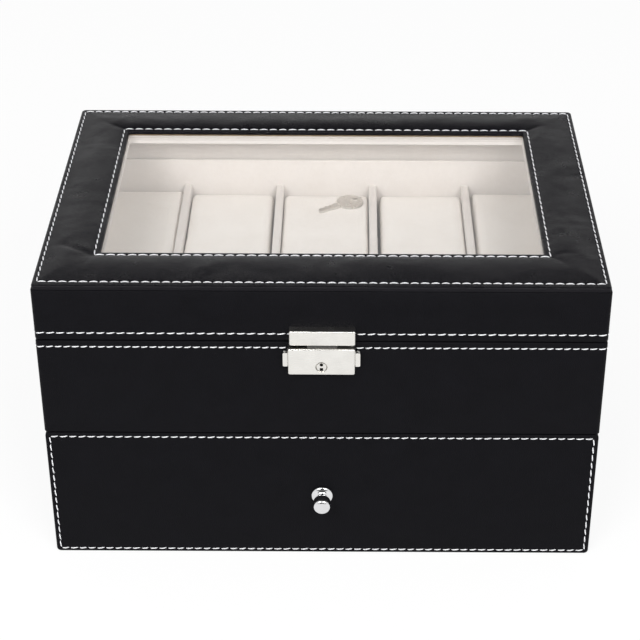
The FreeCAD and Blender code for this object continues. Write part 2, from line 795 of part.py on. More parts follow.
def lid_cover():
    """A card, a thin pad and leather stitched over both, glued on the frame to trap the glass."""
    card_top = "cover_low + cover_card"
    finish(cover_layer("lid_cover_card", "cover_skin", ("cover_low", card_top)))
    finish(cover_padding(size("cover_low") + size("cover_card"), size("pad_low") - 0.1))
    edge_x, edge_y = "(%s - cover_inset)" % SIDE_SKIN, "(%s - cover_inset)" % END_SKIN
    bounds = board("lid_cover_bounds", (minus(edge_x), edge_x), (minus(edge_y), edge_y),
                   ("cover_low", "cover_edge + 10"))
    soften(bounds, "skin_corner", upright)
    leather = document.addObject("Part::Common", "lid_top_leather")
    leather.Base = cover_leather()
    leather.Tool = bounds
    finish(leather)


# Hinges

def leaf(name, middle, low, high):
    """One plate of a butt hinge, up to where its knuckles begin."""
    return block(name, (middle + " - hinge_long / 2", middle + " + hinge_long / 2"),
                 ("%s - leaf_wide" % HINGE_BACK, "%s - knuckle_round - 0.4" % HINGE_BACK), (low, high))


def knuckle(name, start, length, low, high):
    """A curled knuckle and the strip that joins it to its plate."""
    barrel = rod(name + "_barrel", "knuckle_round", length, start, HINGE_BACK, HINGE_HIGH, "X")
    strip = block(name + "_strip", (start, "%s + %s" % (start, length)),
                  ("%s - knuckle_round - 0.5" % HINGE_BACK, HINGE_BACK), (low, high))
    return [barrel, strip]


def screw_seats(name, middle, face, upward):
    """Countersunk holes in a plate, as tools."""
    tools = []
    for number, reach in enumerate((-1, 1)):
        across = "%s + %d * hinge_long / 4" % (middle, reach)
        seat = document.addObject("Part::Cone", "%s_seat_%d" % (name, number))
        seat.Radius1 = 1.5
        seat.Radius2 = 0.7
        seat.Height = 0.8
        if not upward:
            seat.Placement.Rotation = Rotation(Vector(1, 0, 0), 180)
        place(seat, across, HINGE_SCREW, face)
        hole = rod("%s_hole_%d" % (name, number), "hinge_pilot", "4", across, HINGE_SCREW, "%s - 2" % face)
        tools += [seat, hole]
    return tools


def hinges():
    """Two butt hinges let into the back edges: outer knuckles on the case, the middle one on the lid."""
    case_low, case_high = WALL_TOP, "%s + leaf_sheet" % WALL_TOP
    lid_low, lid_high = "%s - leaf_sheet" % RAIL_BOTTOM, RAIL_BOTTOM
    case_leaves, lid_leaves, pins, case_screws, lid_screws = [], [], [], [], []
    for side, sign in (("left", -1), ("right", 1)):
        middle = "%d * hinge_place" % sign
        gap = "(hinge_long / 2 - knuckle_long / 2 - 0.15)"
        case_parts = [leaf("case_plate_" + side, middle, case_low, case_high)]
        case_parts += knuckle("case_knuckle_left_" + side, middle + " - hinge_long / 2", gap,
                              case_low, case_high)
        case_parts += knuckle("case_knuckle_right_" + side, middle + " + knuckle_long / 2 + 0.15", gap,
                              case_low, case_high)
        lid_parts = [leaf("lid_plate_" + side, middle, lid_low, lid_high)]
        lid_parts += knuckle("lid_knuckle_" + side, middle + " - knuckle_long / 2", "knuckle_long",
                             lid_low, lid_high)
        for kind, parts, leaves in (("case", case_parts, case_leaves), ("lid", lid_parts, lid_leaves)):
            bore = rod("%s_hinge_bore_%s" % (kind, side), "pin_round + pin_play", "hinge_long + 2",
                       middle + " - hinge_long / 2 - 1", HINGE_BACK, HINGE_HIGH, "X")
            face = case_high if kind == "case" else lid_low
            seats = screw_seats("%s_leaf_%s" % (kind, side), middle, face, kind == "lid")
            solid = joined("%s_leaf_solid_%s" % (kind, side), parts)
            leaves.append(less("%s_leaf_%s" % (kind, side), solid, [bore] + seats))
        pins.append(rod("hinge_pin_" + side, "pin_round", "hinge_long + 0.6",
                        middle + " - hinge_long / 2 - 0.3", HINGE_BACK, HINGE_HIGH, "X"))
        for number, hand in enumerate((-1, 1)):
            across = "%s + %d * hinge_long / 4" % (middle, hand)
            down = screw("case_hinge_screw_%s_%d" % (side, number), 1.45, 0.65, 6.0, "down")
            place(down, across, HINGE_SCREW, case_high)
            case_screws.append(down)
            up = screw("lid_hinge_screw_%s_%d" % (side, number), 1.45, 0.65, 6.0, "up")
            place(up, across, HINGE_SCREW, lid_low)
            lid_screws.append(up)
    finish(set_of("hinge_case_leaves", case_leaves))
    finish(set_of("hinge_lid_leaves", lid_leaves))
    finish(set_of("hinge_pins", pins))
    finish(set_of("hinge_case_screws", case_screws))
    finish(set_of("hinge_lid_screws", lid_screws))


# Lock

def flush_to_front(body):
    """Seats a body's own XZ plane on the leather of the front, so that its pads stand out of it."""
    place(body, "0", minus(END_SKIN), "0")


def lock_shell():
    """The pressed case of the lock, open behind, slotted for the hook above and the ears at its sides."""
    body = new_body("lock_case")
    flush_to_front(body)
    outline = new_sketch(body, "outline", "XZ_Plane")
    rectangle(outline, ("-lock_half", "lock_half"), ("lock_low", "lock_high"))
    pad(body, outline, "lock_proud")
    soften(body, "0.6", lambda box: box.YLength > 1 and box.XLength + box.ZLength < 0.001)
    deep = size("lock_proud")
    soften(body, "0.35", lambda box: box.YMax < 0.01 - deep, "PartDesign::Chamfer", "front_bevel")
    hollow = new_sketch(body, "hollow_outline", "XZ_Plane")
    rectangle(hollow, ("-(lock_half - lock_sheet)", "lock_half - lock_sheet"),
              ("lock_low + lock_sheet", "lock_high - lock_sheet"))
    pocket(body, hollow, "lock_proud - lock_sheet", "hollow", flipped=True)
    ears = new_sketch(body, "ear_slots", "YZ_Plane")
    rectangle(ears, ("-1.85", "-0.75"), ("ear_low - latch_travel - 0.3", "ear_high + 0.3"))
    pocket(body, ears, "4 * lock_half", "ear_slot", both_ways=True)
    mouth = new_sketch(body, "hook_slot_outline", "XY_Plane", "lock_high")
    rectangle(mouth, ("-8.2", "8.2"), ("-3.4", "-1.9"))
    pocket(body, mouth, "lock_sheet + 0.2", "hook_slot")
    barrel = new_sketch(body, "plug_circle", "XZ_Plane")
    circle(barrel, "0", "plug_high", "plug_round + plug_play")
    pocket(body, barrel, "lock_proud + 1", "plug_hole", flipped=True)
    return finish(body)


def lock_plate():
    """The back plate, screwed to the fascia, with the case closed over it."""
    plate = block("lock_plate_blank", ("-(lock_half - lock_sheet - 0.1)", "lock_half - lock_sheet - 0.1"),
                  (LOCK_PLATE, minus(END_SKIN)),
                  ("lock_low + lock_sheet + 0.1", "lock_high - lock_sheet - 0.1"))
    tools, screws = [], []
    for number, side in enumerate((-1, 1)):
        seat = document.addObject("Part::Cone", "lock_seat_%d" % number)
        seat.Radius1 = 1.6
        bind(seat, "Radius2", "lock_pilot")
        seat.Height = 0.78
        seat.Placement.Rotation = Rotation(Vector(1, 0, 0), -90)
        place(seat, "%d * lock_screw_out" % side, LOCK_PLATE, "lock_screw_high")
        tools.append(seat)
        tools.append(rod("lock_plate_hole_%d" % number, "lock_pilot", "3", "%d * lock_screw_out" % side,
                         "-(box_depth / 2 + 1.5)", "lock_screw_high", "Y"))
        nail = screw("lock_screw_%d" % number, 1.55, 0.8, 6.6, "front")
        place(nail, "%d * lock_screw_out" % side, LOCK_PLATE, "lock_screw_high")
        screws.append(nail)
    finish(less("lock_back_plate", plate, tools))
    finish(set_of("lock_screws", screws))


def lock_slider():
    """The sprung slide: two ears to press, a nose for the hook, and a gate that the key's cam closes."""
    body = new_body("lock_slider")
    place(body, "0", LOCK_SLIDE, "0")
    outline = new_sketch(body, "outline", "XZ_Plane")
    leg, gate, shoulder = "6.6", "plug_high + 6.1", "lock_half - lock_sheet - 0.45"
    polygon(outline, (("-" + leg, "ear_low"), ("-" + leg, gate), (leg, gate), (leg, "ear_low"),
                      ("ear_half", "ear_low"), ("ear_half", "ear_high"), (shoulder, "ear_high"),
                      (shoulder, "lock_high - lock_sheet - 0.5"),
                      (minus(shoulder), "lock_high - lock_sheet - 0.5"), (minus(shoulder), "ear_high"),
                      ("-ear_half", "ear_high"), ("-ear_half", "ear_low")))
    pad(body, outline, "slide_sheet")
    thumb = new_sketch(body, "ear_outlines", "XZ_Plane")
    for low, high in (("-ear_half", "-(lock_half + 0.2)"), ("lock_half + 0.2", "ear_half")):
        rectangle(thumb, (low, high), ("ear_low", "ear_high"))
    pad(body, thumb, "ear_thick", "ears")
    soften(body, "0.7", lambda box: box.YLength > 2 and box.XLength + box.ZLength < 0.001 and
           max(abs(box.XMin), abs(box.XMax)) > size("ear_half") - 0.01)
    nose = new_sketch(body, "nose_outline", "XZ_Plane")
    rectangle(nose, ("-5", "5"), ("nose_low", "nose_high"))
    pad(body, nose, "1.2", "nose")
    soften(body, "0.35", lambda box: box.ZMin > size("nose_high") - 0.01 and box.YMax < -1.19 and
           box.XLength > 9, "PartDesign::Chamfer", "nose_bevel")
    return finish(body)


def lock_springs():
    """Two bowed strips between the case's floor and the slider's legs."""
    floor = size("lock_low") + size("lock_sheet")
    rise = size("ear_low") - floor
    strip = 0.35
    strips = []
    for side in (-1, 1):
        middle = side * 11.2
        half = 4.2
        radius = (half * half + rise * rise) / (2 * rise)
        centre = Vector(middle, 0, floor + rise - radius)
        spread = math.asin(half / radius)

        def at(angle, reach):
            return centre + Vector(math.sin(angle) * reach, 0, math.cos(angle) * reach)

        inner = radius - strip
        inner_spread = math.acos((radius - rise) / inner)
        bow = Part.Wire([
            Part.Arc(at(-spread, radius), at(0, radius), at(spread, radius)).toShape(),
            Part.LineSegment(at(spread, radius), at(inner_spread, inner)).toShape(),
            Part.Arc(at(inner_spread, inner), at(0, inner), at(-inner_spread, inner)).toShape(),
            Part.LineSegment(at(-inner_spread, inner), at(-spread, radius)).toShape()])
        spring = document.addObject("Part::Feature", "lock_spring_%s" % ("left" if side < 0 else "right"))
        spring.Shape = Part.Face(bow).extrude(Vector(0, -size("slide_sheet"), 0))
        place(spring, "0", LOCK_SLIDE, "0")
        strips.append(spring)
    finish(set_of("lock_springs", strips))


def lock_plug():
    """The round plug with its keyway, and the cam on its tail that blocks the slider when turned."""
    front = size("lock_proud") + 0.1
    tail, step = 1.6, 2.4
    plug = turned("lock_plug", ((0, 0.95), (tail, 0.95), (tail, step), ("plug_round", step),
                                ("plug_round", front - 0.3), ("plug_round - 0.3", front),
                                (0, front)), "front")
    place(plug, "0", minus(END_SKIN), "plug_high")
    document.recompute()
    ward = new_sketch(plug, "keyway", "XY_Plane", str(front))
    circle(ward, "0", "1.2", "0.75")
    rectangle(ward, ("-0.7", "0.7"), ("-1.9", "-0.45"))
    pocket(plug, ward, "2", "keyway_cut")
    finish(plug)
    cam = new_body("lock_cam")
    place(cam, "0", LOCK_SLIDE + " - 0.1", "plug_high")
    outline = new_sketch(cam, "outline", "XZ_Plane")
    rectangle(outline, ("-5.9", "2.4"), ("-1.9", "1.9"))
    circle(outline, "0", "0", "1.6")
    pad(cam, outline, "slide_sheet")
    soften(cam, "0.8", lambda box: box.YLength > 0.5 and box.XLength + box.ZLength < 0.001)
    finish(cam)


def striker():
    """The lid's half of the lock: a pressed cup on two bosses, with the hook hanging from it."""
    low_x, high_x = "-striker_half + striker_shift", "striker_half + striker_shift"
    body = new_body("striker_plate")
    flush_to_front(body)
    outline = new_sketch(body, "outline", "XZ_Plane")
    rectangle(outline, (low_x, high_x), ("striker_low", "striker_high"))
    pad(body, outline, "lock_proud")
    soften(body, "0.6", lambda box: box.YLength > 1 and box.XLength + box.ZLength < 0.001)
    deep = size("lock_proud")
    soften(body, "0.35", lambda box: box.YMax < 0.01 - deep, "PartDesign::Chamfer", "front_bevel")
    hollow = new_sketch(body, "hollow_outline", "XZ_Plane")
    rectangle(hollow, (low_x + " + lock_sheet", high_x + " - lock_sheet"),
              ("striker_low + lock_sheet", "striker_high - lock_sheet"))
    pocket(body, hollow, "lock_proud - lock_sheet", "hollow", flipped=True)
    bosses = new_sketch(body, "boss_circles", "XZ_Plane")
    for side in (-1, 1):
        circle(bosses, "striker_shift + %d * striker_screw_out" % side, "striker_screw_high", "1.9")
    pad(body, bosses, "lock_proud - lock_sheet / 2", "bosses")
    holes = new_sketch(body, "boss_bores", "XZ_Plane")
    for side in (-1, 1):
        circle(holes, "striker_shift + %d * striker_screw_out" % side, "striker_screw_high", "0.82")
    pocket(body, holes, "lock_proud - lock_sheet - 0.6", "boss_bore", flipped=True)
    hook = new_sketch(body, "hook_outline", "XZ_Plane", "2.2")
    rectangle(hook, ("-7.5", "7.5"), ("hook_low", "striker_high - lock_sheet / 2"))
    rectangle(hook, ("-5.3", "5.3"), ("hook_eye_low", "hook_eye_high"))
    pad(body, hook, "0.9", "hook")
    finish(body)
    screws = []
    for number, side in enumerate((-1, 1)):
        pin = turned("striker_screw_%d" % number,
                     ((0, 0), (1.7, 0), (1.7, -1.05), (0.8, -1.05), (0.8, -8.0), (0, -8.0)), "back")
        place(pin, "striker_shift + %d * striker_screw_out" % side, "-(%s)" % RAIL_END, "striker_screw_high")
        screws.append(pin)
    finish(set_of("striker_screws", screws))


# Drawer

def drawer_face():
    """The overlaid front: a board, the leather wrapped over it, the knob and the knob's screw."""
    edge = "(box_width / 2 - drawer_inset)"
    skin, low, high = "leather_skin", "drawer_low + leather_skin", "drawer_high - leather_skin"
    half = "(%s - %s)" % (edge, skin)
    front = board("drawer_front_board", (minus(half), half), (minus(END_BOARD), minus(FRONT_BACK)),
                  (low, high))
    drill(front, half, "knob_high - (%s)" % low, "2.1", "drawer_front_board", "knob_hole")
    sink = new_sketch(front, "knob_sink_circle", "XZ_Plane", "-(drawer_front_board - 2.3)")
    circle(sink, half, "knob_high - (%s)" % low, "3.5")
    pocket(front, sink, "drawer_front_board", "knob_sink")
    finish(front)
    whole = board("drawer_skin_whole", (minus(edge), edge),
                  (minus(END_SKIN), "-(%s - drawer_wrap)" % FRONT_BACK), ("drawer_low", "drawer_high"))
    soften(whole, "drawer_corner", lambda box: box.YLength > 1 and box.XLength + box.ZLength < 0.001)
    soften(whole, "0.5", lambda box: box.YMax < 0.01, "PartDesign::Chamfer", "front_bevel")
    wrap = "4"
    tools = [
        block("drawer_skin_board", (minus(half), half), (minus(END_BOARD), minus(FRONT_BACK)), (low, high)),
        block("drawer_skin_mouth", ("-(%s - %s)" % (half, wrap), "%s - %s" % (half, wrap)),
              ("-(%s + 1)" % FRONT_BACK, "-(%s - 2)" % FRONT_BACK),
              ("%s + %s" % (low, wrap), "%s - %s" % (high, wrap))),
        rod("drawer_skin_hole", "2.1", "3", "0", AHEAD, "knob_high", "Y"),
    ]
    finish(less("drawer_front_leather", whole, tools))


def drawer_knob():
    """A turned knob: a flange on the leather, a waist, and a head with a low dome."""
    flange, waist, rim = 5.7, 2.7, 4.5
    body = turned("drawer_knob", (
        (1.95, 0), (flange, 0), (flange, 1.4), (waist, 3.0), (waist, 5.2), (rim, 8.6), (rim, 9.9),
        (rim - 1.3, 11.2), (0, 11.7), (0, 7), (1.95, 6.5)), "front")
    place(body, "0", minus(END_SKIN), "knob_high")
    finish(body)
    bolt = turned("drawer_knob_screw", ((0, 0), (3.3, 0), (3.3, -2.0), (1.9, -2.0), (1.9, -12.5), (0, -12.5)),
                  "back")
    place(bolt, "0", minus(FRONT_BACK), "knob_high")
    finish(bolt)


def drawer_box():
    """The drawer behind its front: two sides, a back, a thin bottom and a suede lining."""
    side_low = "felt_deep + base_board + 0.2"
    for label, low, high in (("drawer_left_side", minus(DRAWER_SIDE), minus(DRAWER_INNER)),
                             ("drawer_right_side", DRAWER_INNER, DRAWER_SIDE)):
        finish(board(label, (low, high), (minus(FRONT_BACK), "drawer_back"), (side_low, "drawer_side_top")))
    finish(board("drawer_back_board", (minus(DRAWER_INNER), DRAWER_INNER), (DRAWER_END, "drawer_back"),
                 (side_low, "drawer_side_top")))
    finish(board("drawer_bottom", (minus(DRAWER_INNER), DRAWER_INNER), (minus(FRONT_BACK), DRAWER_END),
                 ("drawer_floor", PLY_TOP)))
    outer = block("drawer_suede_outer", (minus(DRAWER_INNER), DRAWER_INNER), (minus(FRONT_BACK), DRAWER_END),
                  (PLY_TOP, "drawer_side_top"))
    inner = "(%s - drawer_suede)" % DRAWER_INNER
    hollow = block("drawer_suede_hollow", (minus(inner), inner),
                   ("-(%s - drawer_suede)" % FRONT_BACK, "%s - drawer_suede" % DRAWER_END),
                   (DRAWER_BED, "drawer_side_top + 1"))
    finish(less("drawer_lining", outer, [hollow]))


# Key

def key():
    """The flat key that lies on the middle back pillow: a round bow with a hole, and a notched blade."""
    body = new_body("key")
    body.Placement.Rotation = Rotation(Vector(0, 0, 1), 211)
    place(body, "14", "70", "%s + pillow_seat + pillow_tall + pillow_crown + 0.15" % TRAY_FLOOR)
    bow = new_sketch(body, "bow", "XY_Plane")
    circle(bow, "0", "0", "7.6")
    circle(bow, "-3.6", "0", "1.9")
    pad(body, bow, "1.4", "bow_plate")
    blade = new_sketch(body, "blade", "XY_Plane")
    polygon(blade, (("7.2", "-2.1"), ("10.5", "-2.1"), ("11.4", "-1.0"), ("12.6", "-2.1"), ("14.2", "-0.7"),
                    ("15.6", "-1.9"), ("17.2", "-0.6"), ("19.0", "-1.6"), ("20.6", "-0.4"), ("21.2", "0.9"),
                    ("20.4", "2.1"), ("7.2", "2.1")))
    pad(body, blade, "1.4", "blade_plate")
    finish(body)


def build():
    case_base()
    case_side("case_left_wall", minus(SIDE_BOARD))
    case_side("case_right_wall", SIDE_INNER)
    case_back()
    case_front()
    case_skin()
    case_linings()
    lattice("tray", SIDE_LINED, minus(END_LINED), END_LINED, TRAY_FLOOR, "tray_pitch")
    lid_rails()
    lid_frame()
    lid_skins()
    lid_cover()
    hinges()
    lock_shell()
    lock_plate()
    lock_slider()
    lock_springs()
    lock_plug()
    striker()
    drawer_face()
    drawer_knob()
    drawer_box()
    lattice("drawer", "(%s - drawer_suede)" % DRAWER_INNER, "-(%s) + drawer_suede" % FRONT_BACK,
            "(%s) - drawer_suede" % DRAWER_END, DRAWER_BED, "drawer_pitch")
    pillows()
    key()
    document.recompute()


def check_and_write():
    """Stops on any failed object or empty or invalid solid, then writes one file for each sub-part."""
    for thing in document.Objects:
        if "Invalid" in thing.State or "Error" in thing.State:
            raise RuntimeError("%s has failed: %s" % (thing.Label, thing.State))
    for thing in finished:
        if thing.Shape.isNull() or not thing.Shape.isValid() or thing.Shape.Volume <= 0:
            raise RuntimeError("%s has no valid solid" % thing.Label)
    os.makedirs("parts", exist_ok=True)
    for thing in finished:
        thing.Shape.exportStep("parts/%s.step" % thing.Label)
        print(thing.Label, len(thing.Shape.Solids), "solids", round(thing.Shape.Volume, 1), "mm3")


build()
check_and_write()
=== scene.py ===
import math

import bmesh
import bpy
from mathutils import Matrix, Vector, noise


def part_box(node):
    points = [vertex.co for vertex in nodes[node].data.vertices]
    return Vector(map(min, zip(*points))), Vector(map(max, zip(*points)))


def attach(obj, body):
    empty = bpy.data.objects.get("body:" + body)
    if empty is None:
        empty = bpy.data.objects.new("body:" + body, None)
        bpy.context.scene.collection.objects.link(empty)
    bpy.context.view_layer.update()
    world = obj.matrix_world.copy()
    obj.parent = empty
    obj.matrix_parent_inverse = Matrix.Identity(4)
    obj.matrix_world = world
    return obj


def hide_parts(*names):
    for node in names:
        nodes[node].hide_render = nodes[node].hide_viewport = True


# The dressed watch box: leather with channels and thread, suede, pillows, metal fittings, camera and light.
# Lengths in the tables are millimetres and become metres where a piece is made.

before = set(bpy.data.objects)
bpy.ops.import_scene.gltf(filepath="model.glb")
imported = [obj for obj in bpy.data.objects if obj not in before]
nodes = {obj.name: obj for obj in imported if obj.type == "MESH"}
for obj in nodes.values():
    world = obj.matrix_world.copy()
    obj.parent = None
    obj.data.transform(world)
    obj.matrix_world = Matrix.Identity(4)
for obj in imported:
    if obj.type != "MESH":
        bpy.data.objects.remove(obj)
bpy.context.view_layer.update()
MM = 0.001


# Materials: helpers

def new_material(name):
    material = bpy.data.materials.new(name)
    material.use_nodes = True
    tree = material.node_tree
    shader = tree.nodes["Principled BSDF"]
    return material, tree, shader


def add_node(tree, kind, **settings):
    node = tree.nodes.new(kind)
    for key, value in settings.items():
        setattr(node, key, value)
    return node


def feed(tree, source, target):
    tree.links.new(source, target)


def number(tree, operation, first, second=None, third=None):
    """A Math node; each term is a number or another node's socket."""
    node = add_node(tree, "ShaderNodeMath", operation=operation)
    for socket, term in zip(node.inputs, (first, second, third)):
        if term is None:
            continue
        if isinstance(term, (int, float)):
            socket.default_value = term
        else:
            feed(tree, term, socket)
    return node.outputs[0]


def tint(tree, amount, dark, light):
    """A colour between two, by a mask."""
    node = add_node(tree, "ShaderNodeMix", data_type="RGBA")
    feed(tree, amount, node.inputs["Factor"])
    node.inputs[6].default_value = (*dark, 1)
    node.inputs[7].default_value = (*light, 1)
    return node.outputs[2]


def span(tree, source, low, high, to_low, to_high):
    node = add_node(tree, "ShaderNodeMapRange")
    feed(tree, source, node.inputs["Value"])
    for label, value in (("From Min", low), ("From Max", high), ("To Min", to_low), ("To Max", to_high)):
        node.inputs[label].default_value = value
    return node.outputs["Result"]


def bump(tree, height, distance, strength=1.0, normal=None):
    node = add_node(tree, "ShaderNodeBump")
    node.inputs["Strength"].default_value = strength
    node.inputs["Distance"].default_value = distance
    feed(tree, height, node.inputs["Height"])
    if normal is not None:
        feed(tree, normal, node.inputs["Normal"])
    return node.outputs["Normal"]


def make_group(name, inputs, outputs):
    group = bpy.data.node_groups.new(name, "ShaderNodeTree")
    for label, kind, value in inputs:
        socket = group.interface.new_socket(label, in_out="INPUT", socket_type=kind)
        if value is not None:
            socket.default_value = value
    for label, kind in outputs:
        group.interface.new_socket(label, in_out="OUTPUT", socket_type=kind)
    start = group.nodes.new("NodeGroupInput")
    end = group.nodes.new("NodeGroupOutput")
    return group, start, end


def use_group(tree, group, **values):
    node = tree.nodes.new("ShaderNodeGroup")
    node.node_tree = group
    place = add_node(tree, "ShaderNodeTexCoord")
    feed(tree, place.outputs["Object"], node.inputs["Place"])
    for label, value in values.items():
        node.inputs[label.replace("_", " ")].default_value = value
    return node


# Materials: effects shared by several finishes

def leather_grain():
    """Pebbled grain: rounded cells of uneven size with fine creases, and slow folds under them."""
    group, start, end = make_group(
        "leather grain",
        [("Place", "NodeSocketVector", None), ("Cell", "NodeSocketFloat", 1300.0)],
        [("Height", "NodeSocketFloat"), ("Folds", "NodeSocketFloat"), ("Tone", "NodeSocketFloat")])
    stir = add_node(group, "ShaderNodeTexNoise")
    stir.inputs["Scale"].default_value = 900
    stir.inputs["Detail"].default_value = 1
    feed(group, start.outputs["Place"], stir.inputs["Vector"])
    moved = add_node(group, "ShaderNodeVectorMath", operation="MULTIPLY_ADD")
    feed(group, stir.outputs["Color"], moved.inputs[0])
    moved.inputs[1].default_value = (0.0006, 0.0006, 0.0006)
    feed(group, start.outputs["Place"], moved.inputs[2])
    cells = add_node(group, "ShaderNodeTexVoronoi", feature="DISTANCE_TO_EDGE")
    feed(group, moved.outputs[0], cells.inputs["Vector"])
    feed(group, start.outputs["Cell"], cells.inputs["Scale"])
    pebble = span(group, cells.outputs["Distance"], 0.0, 0.22, 0.0, 1.0)
    fine = add_node(group, "ShaderNodeTexNoise")
    fine.inputs["Scale"].default_value = 4200
    fine.inputs["Detail"].default_value = 2
    feed(group, start.outputs["Place"], fine.inputs["Vector"])
    feed(group, number(group, "MULTIPLY_ADD", fine.outputs["Fac"], 0.35, pebble), end.inputs["Height"])
    slow = add_node(group, "ShaderNodeTexNoise")
    slow.inputs["Scale"].default_value = 26
    slow.inputs["Detail"].default_value = 2
    slow.inputs["Distortion"].default_value = 0.6
    feed(group, start.outputs["Place"], slow.inputs["Vector"])
    feed(group, slow.outputs["Fac"], end.inputs["Folds"])
    patch = add_node(group, "ShaderNodeTexNoise")
    patch.inputs["Scale"].default_value = 70
    patch.inputs["Detail"].default_value = 4
    feed(group, start.outputs["Place"], patch.inputs["Vector"])
    feed(group, patch.outputs["Fac"], end.inputs["Tone"])
    return group


def suede_nap():
    """Short velvet nap: fine fibres, and slow strokes where it has been brushed one way or the other."""
    group, start, end = make_group(
        "suede nap",
        [("Place", "NodeSocketVector", None), ("Fibre", "NodeSocketFloat", 2600.0)],
        [("Height", "NodeSocketFloat"), ("Strokes", "NodeSocketFloat")])
    fibre = add_node(group, "ShaderNodeTexNoise")
    feed(group, start.outputs["Fibre"], fibre.inputs["Scale"])
    fibre.inputs["Detail"].default_value = 3
    feed(group, start.outputs["Place"], fibre.inputs["Vector"])
    feed(group, fibre.outputs["Fac"], end.inputs["Height"])
    stroke = add_node(group, "ShaderNodeTexNoise")
    stroke.inputs["Scale"].default_value = 38
    stroke.inputs["Detail"].default_value = 3
    stroke.inputs["Distortion"].default_value = 1.2
    feed(group, start.outputs["Place"], stroke.inputs["Vector"])
    mottle = add_node(group, "ShaderNodeTexNoise")
    mottle.inputs["Scale"].default_value = 420
    mottle.inputs["Detail"].default_value = 2
    feed(group, start.outputs["Place"], mottle.inputs["Vector"])
    mixed = number(group, "MULTIPLY_ADD", mottle.outputs["Fac"], 0.45,
                   number(group, "MULTIPLY", stroke.outputs["Fac"], 0.55))
    feed(group, span(group, mixed, 0.3, 0.7, 0.0, 1.0), end.inputs["Strokes"])
    return group


def metal_brushing():
    """Fine scratches along the object's width, with a few deeper ones."""
    group, start, end = make_group(
        "metal brushing",
        [("Place", "NodeSocketVector", None), ("Stretch", "NodeSocketVector", (60.0, 60.0, 2600.0))],
        [("Scratches", "NodeSocketFloat"), ("Smudges", "NodeSocketFloat")])
    stretched = add_node(group, "ShaderNodeVectorMath", operation="MULTIPLY")
    feed(group, start.outputs["Place"], stretched.inputs[0])
    feed(group, start.outputs["Stretch"], stretched.inputs[1])
    lines = add_node(group, "ShaderNodeTexNoise")
    lines.inputs["Scale"].default_value = 1
    lines.inputs["Detail"].default_value = 3
    feed(group, stretched.outputs[0], lines.inputs["Vector"])
    feed(group, lines.outputs["Fac"], end.inputs["Scratches"])
    smudge = add_node(group, "ShaderNodeTexNoise")
    smudge.inputs["Scale"].default_value = 160
    smudge.inputs["Detail"].default_value = 3
    feed(group, start.outputs["Place"], smudge.inputs["Vector"])
    feed(group, smudge.outputs["Fac"], end.inputs["Smudges"])
    return group


GRAIN = leather_grain()
NAP = suede_nap()
BRUSHING = metal_brushing()


# Materials: finishes

def leather(name, colour, roughness, gloss, grain, folds):
    """Black leatherette: a thin worn gloss over pebbled grain, slacker where it is padded."""
    material, tree, shader = new_material(name)
    marks = use_group(tree, GRAIN, Cell=1250.0)
    lighter = tuple(channel * 1.7 for channel in colour)
    feed(tree, tint(tree, marks.outputs["Tone"], colour, lighter), shader.inputs["Base Color"])
    rough = span(tree, marks.outputs["Tone"], 0.3, 0.7, roughness - 0.05, roughness + 0.07)
    feed(tree, rough, shader.inputs["Roughness"])
    shader.inputs["Specular IOR Level"].default_value = gloss
    slack = bump(tree, marks.outputs["Folds"], folds)
    feed(tree, bump(tree, marks.outputs["Height"], grain, 0.7, slack), shader.inputs["Normal"])
    return material


def suede(name, colour, shade):
    """Cream suede or velvet, with a soft sheen at grazing angles."""
    material, tree, shader = new_material(name)
    marks = use_group(tree, NAP)
    feed(tree, tint(tree, marks.outputs["Strokes"], shade, colour), shader.inputs["Base Color"])
    shader.inputs["Roughness"].default_value = 0.92
    shader.inputs["Specular IOR Level"].default_value = 0.2
    shader.inputs["Sheen Weight"].default_value = 0.22
    shader.inputs["Sheen Roughness"].default_value = 0.4
    feed(tree, bump(tree, marks.outputs["Height"], 0.00025, 0.8), shader.inputs["Normal"])
    return material


def plated(name, colour, roughness, depth, stretch=(60.0, 60.0, 2600.0)):
    """Plated or bare metal, brushed one way and a little smudged."""
    material, tree, shader = new_material(name)
    marks = use_group(tree, BRUSHING, Stretch=stretch)
    darker = tuple(channel * 0.84 for channel in colour)
    feed(tree, tint(tree, marks.outputs["Smudges"], darker, colour), shader.inputs["Base Color"])
    shader.inputs["Metallic"].default_value = 1.0
    rough = span(tree, marks.outputs["Scratches"], 0.3, 0.7, roughness * 0.7, roughness * 1.35)
    feed(tree, rough, shader.inputs["Roughness"])
    feed(tree, bump(tree, marks.outputs["Scratches"], depth, 0.6), shader.inputs["Normal"])
    return material


def fibreboard():
    """Pressed fibre, with flecks and a sanded face."""
    material, tree, shader = new_material("pressed fibreboard")
    place = add_node(tree, "ShaderNodeTexCoord")
    fleck = add_node(tree, "ShaderNodeTexVoronoi")
    fleck.inputs["Scale"].default_value = 1500
    feed(tree, place.outputs["Object"], fleck.inputs["Vector"])
    cloud = add_node(tree, "ShaderNodeTexNoise")
    cloud.inputs["Scale"].default_value = 320
    cloud.inputs["Detail"].default_value = 4
    feed(tree, place.outputs["Object"], cloud.inputs["Vector"])
    mask = number(tree, "MULTIPLY", fleck.outputs["Distance"], cloud.outputs["Fac"])
    feed(tree, tint(tree, span(tree, mask, 0.05, 0.4, 0, 1), (0.33, 0.22, 0.12), (0.50, 0.37, 0.23)),
         shader.inputs["Base Color"])
    shader.inputs["Roughness"].default_value = 0.8
    feed(tree, bump(tree, cloud.outputs["Fac"], 0.0002), shader.inputs["Normal"])
    return material


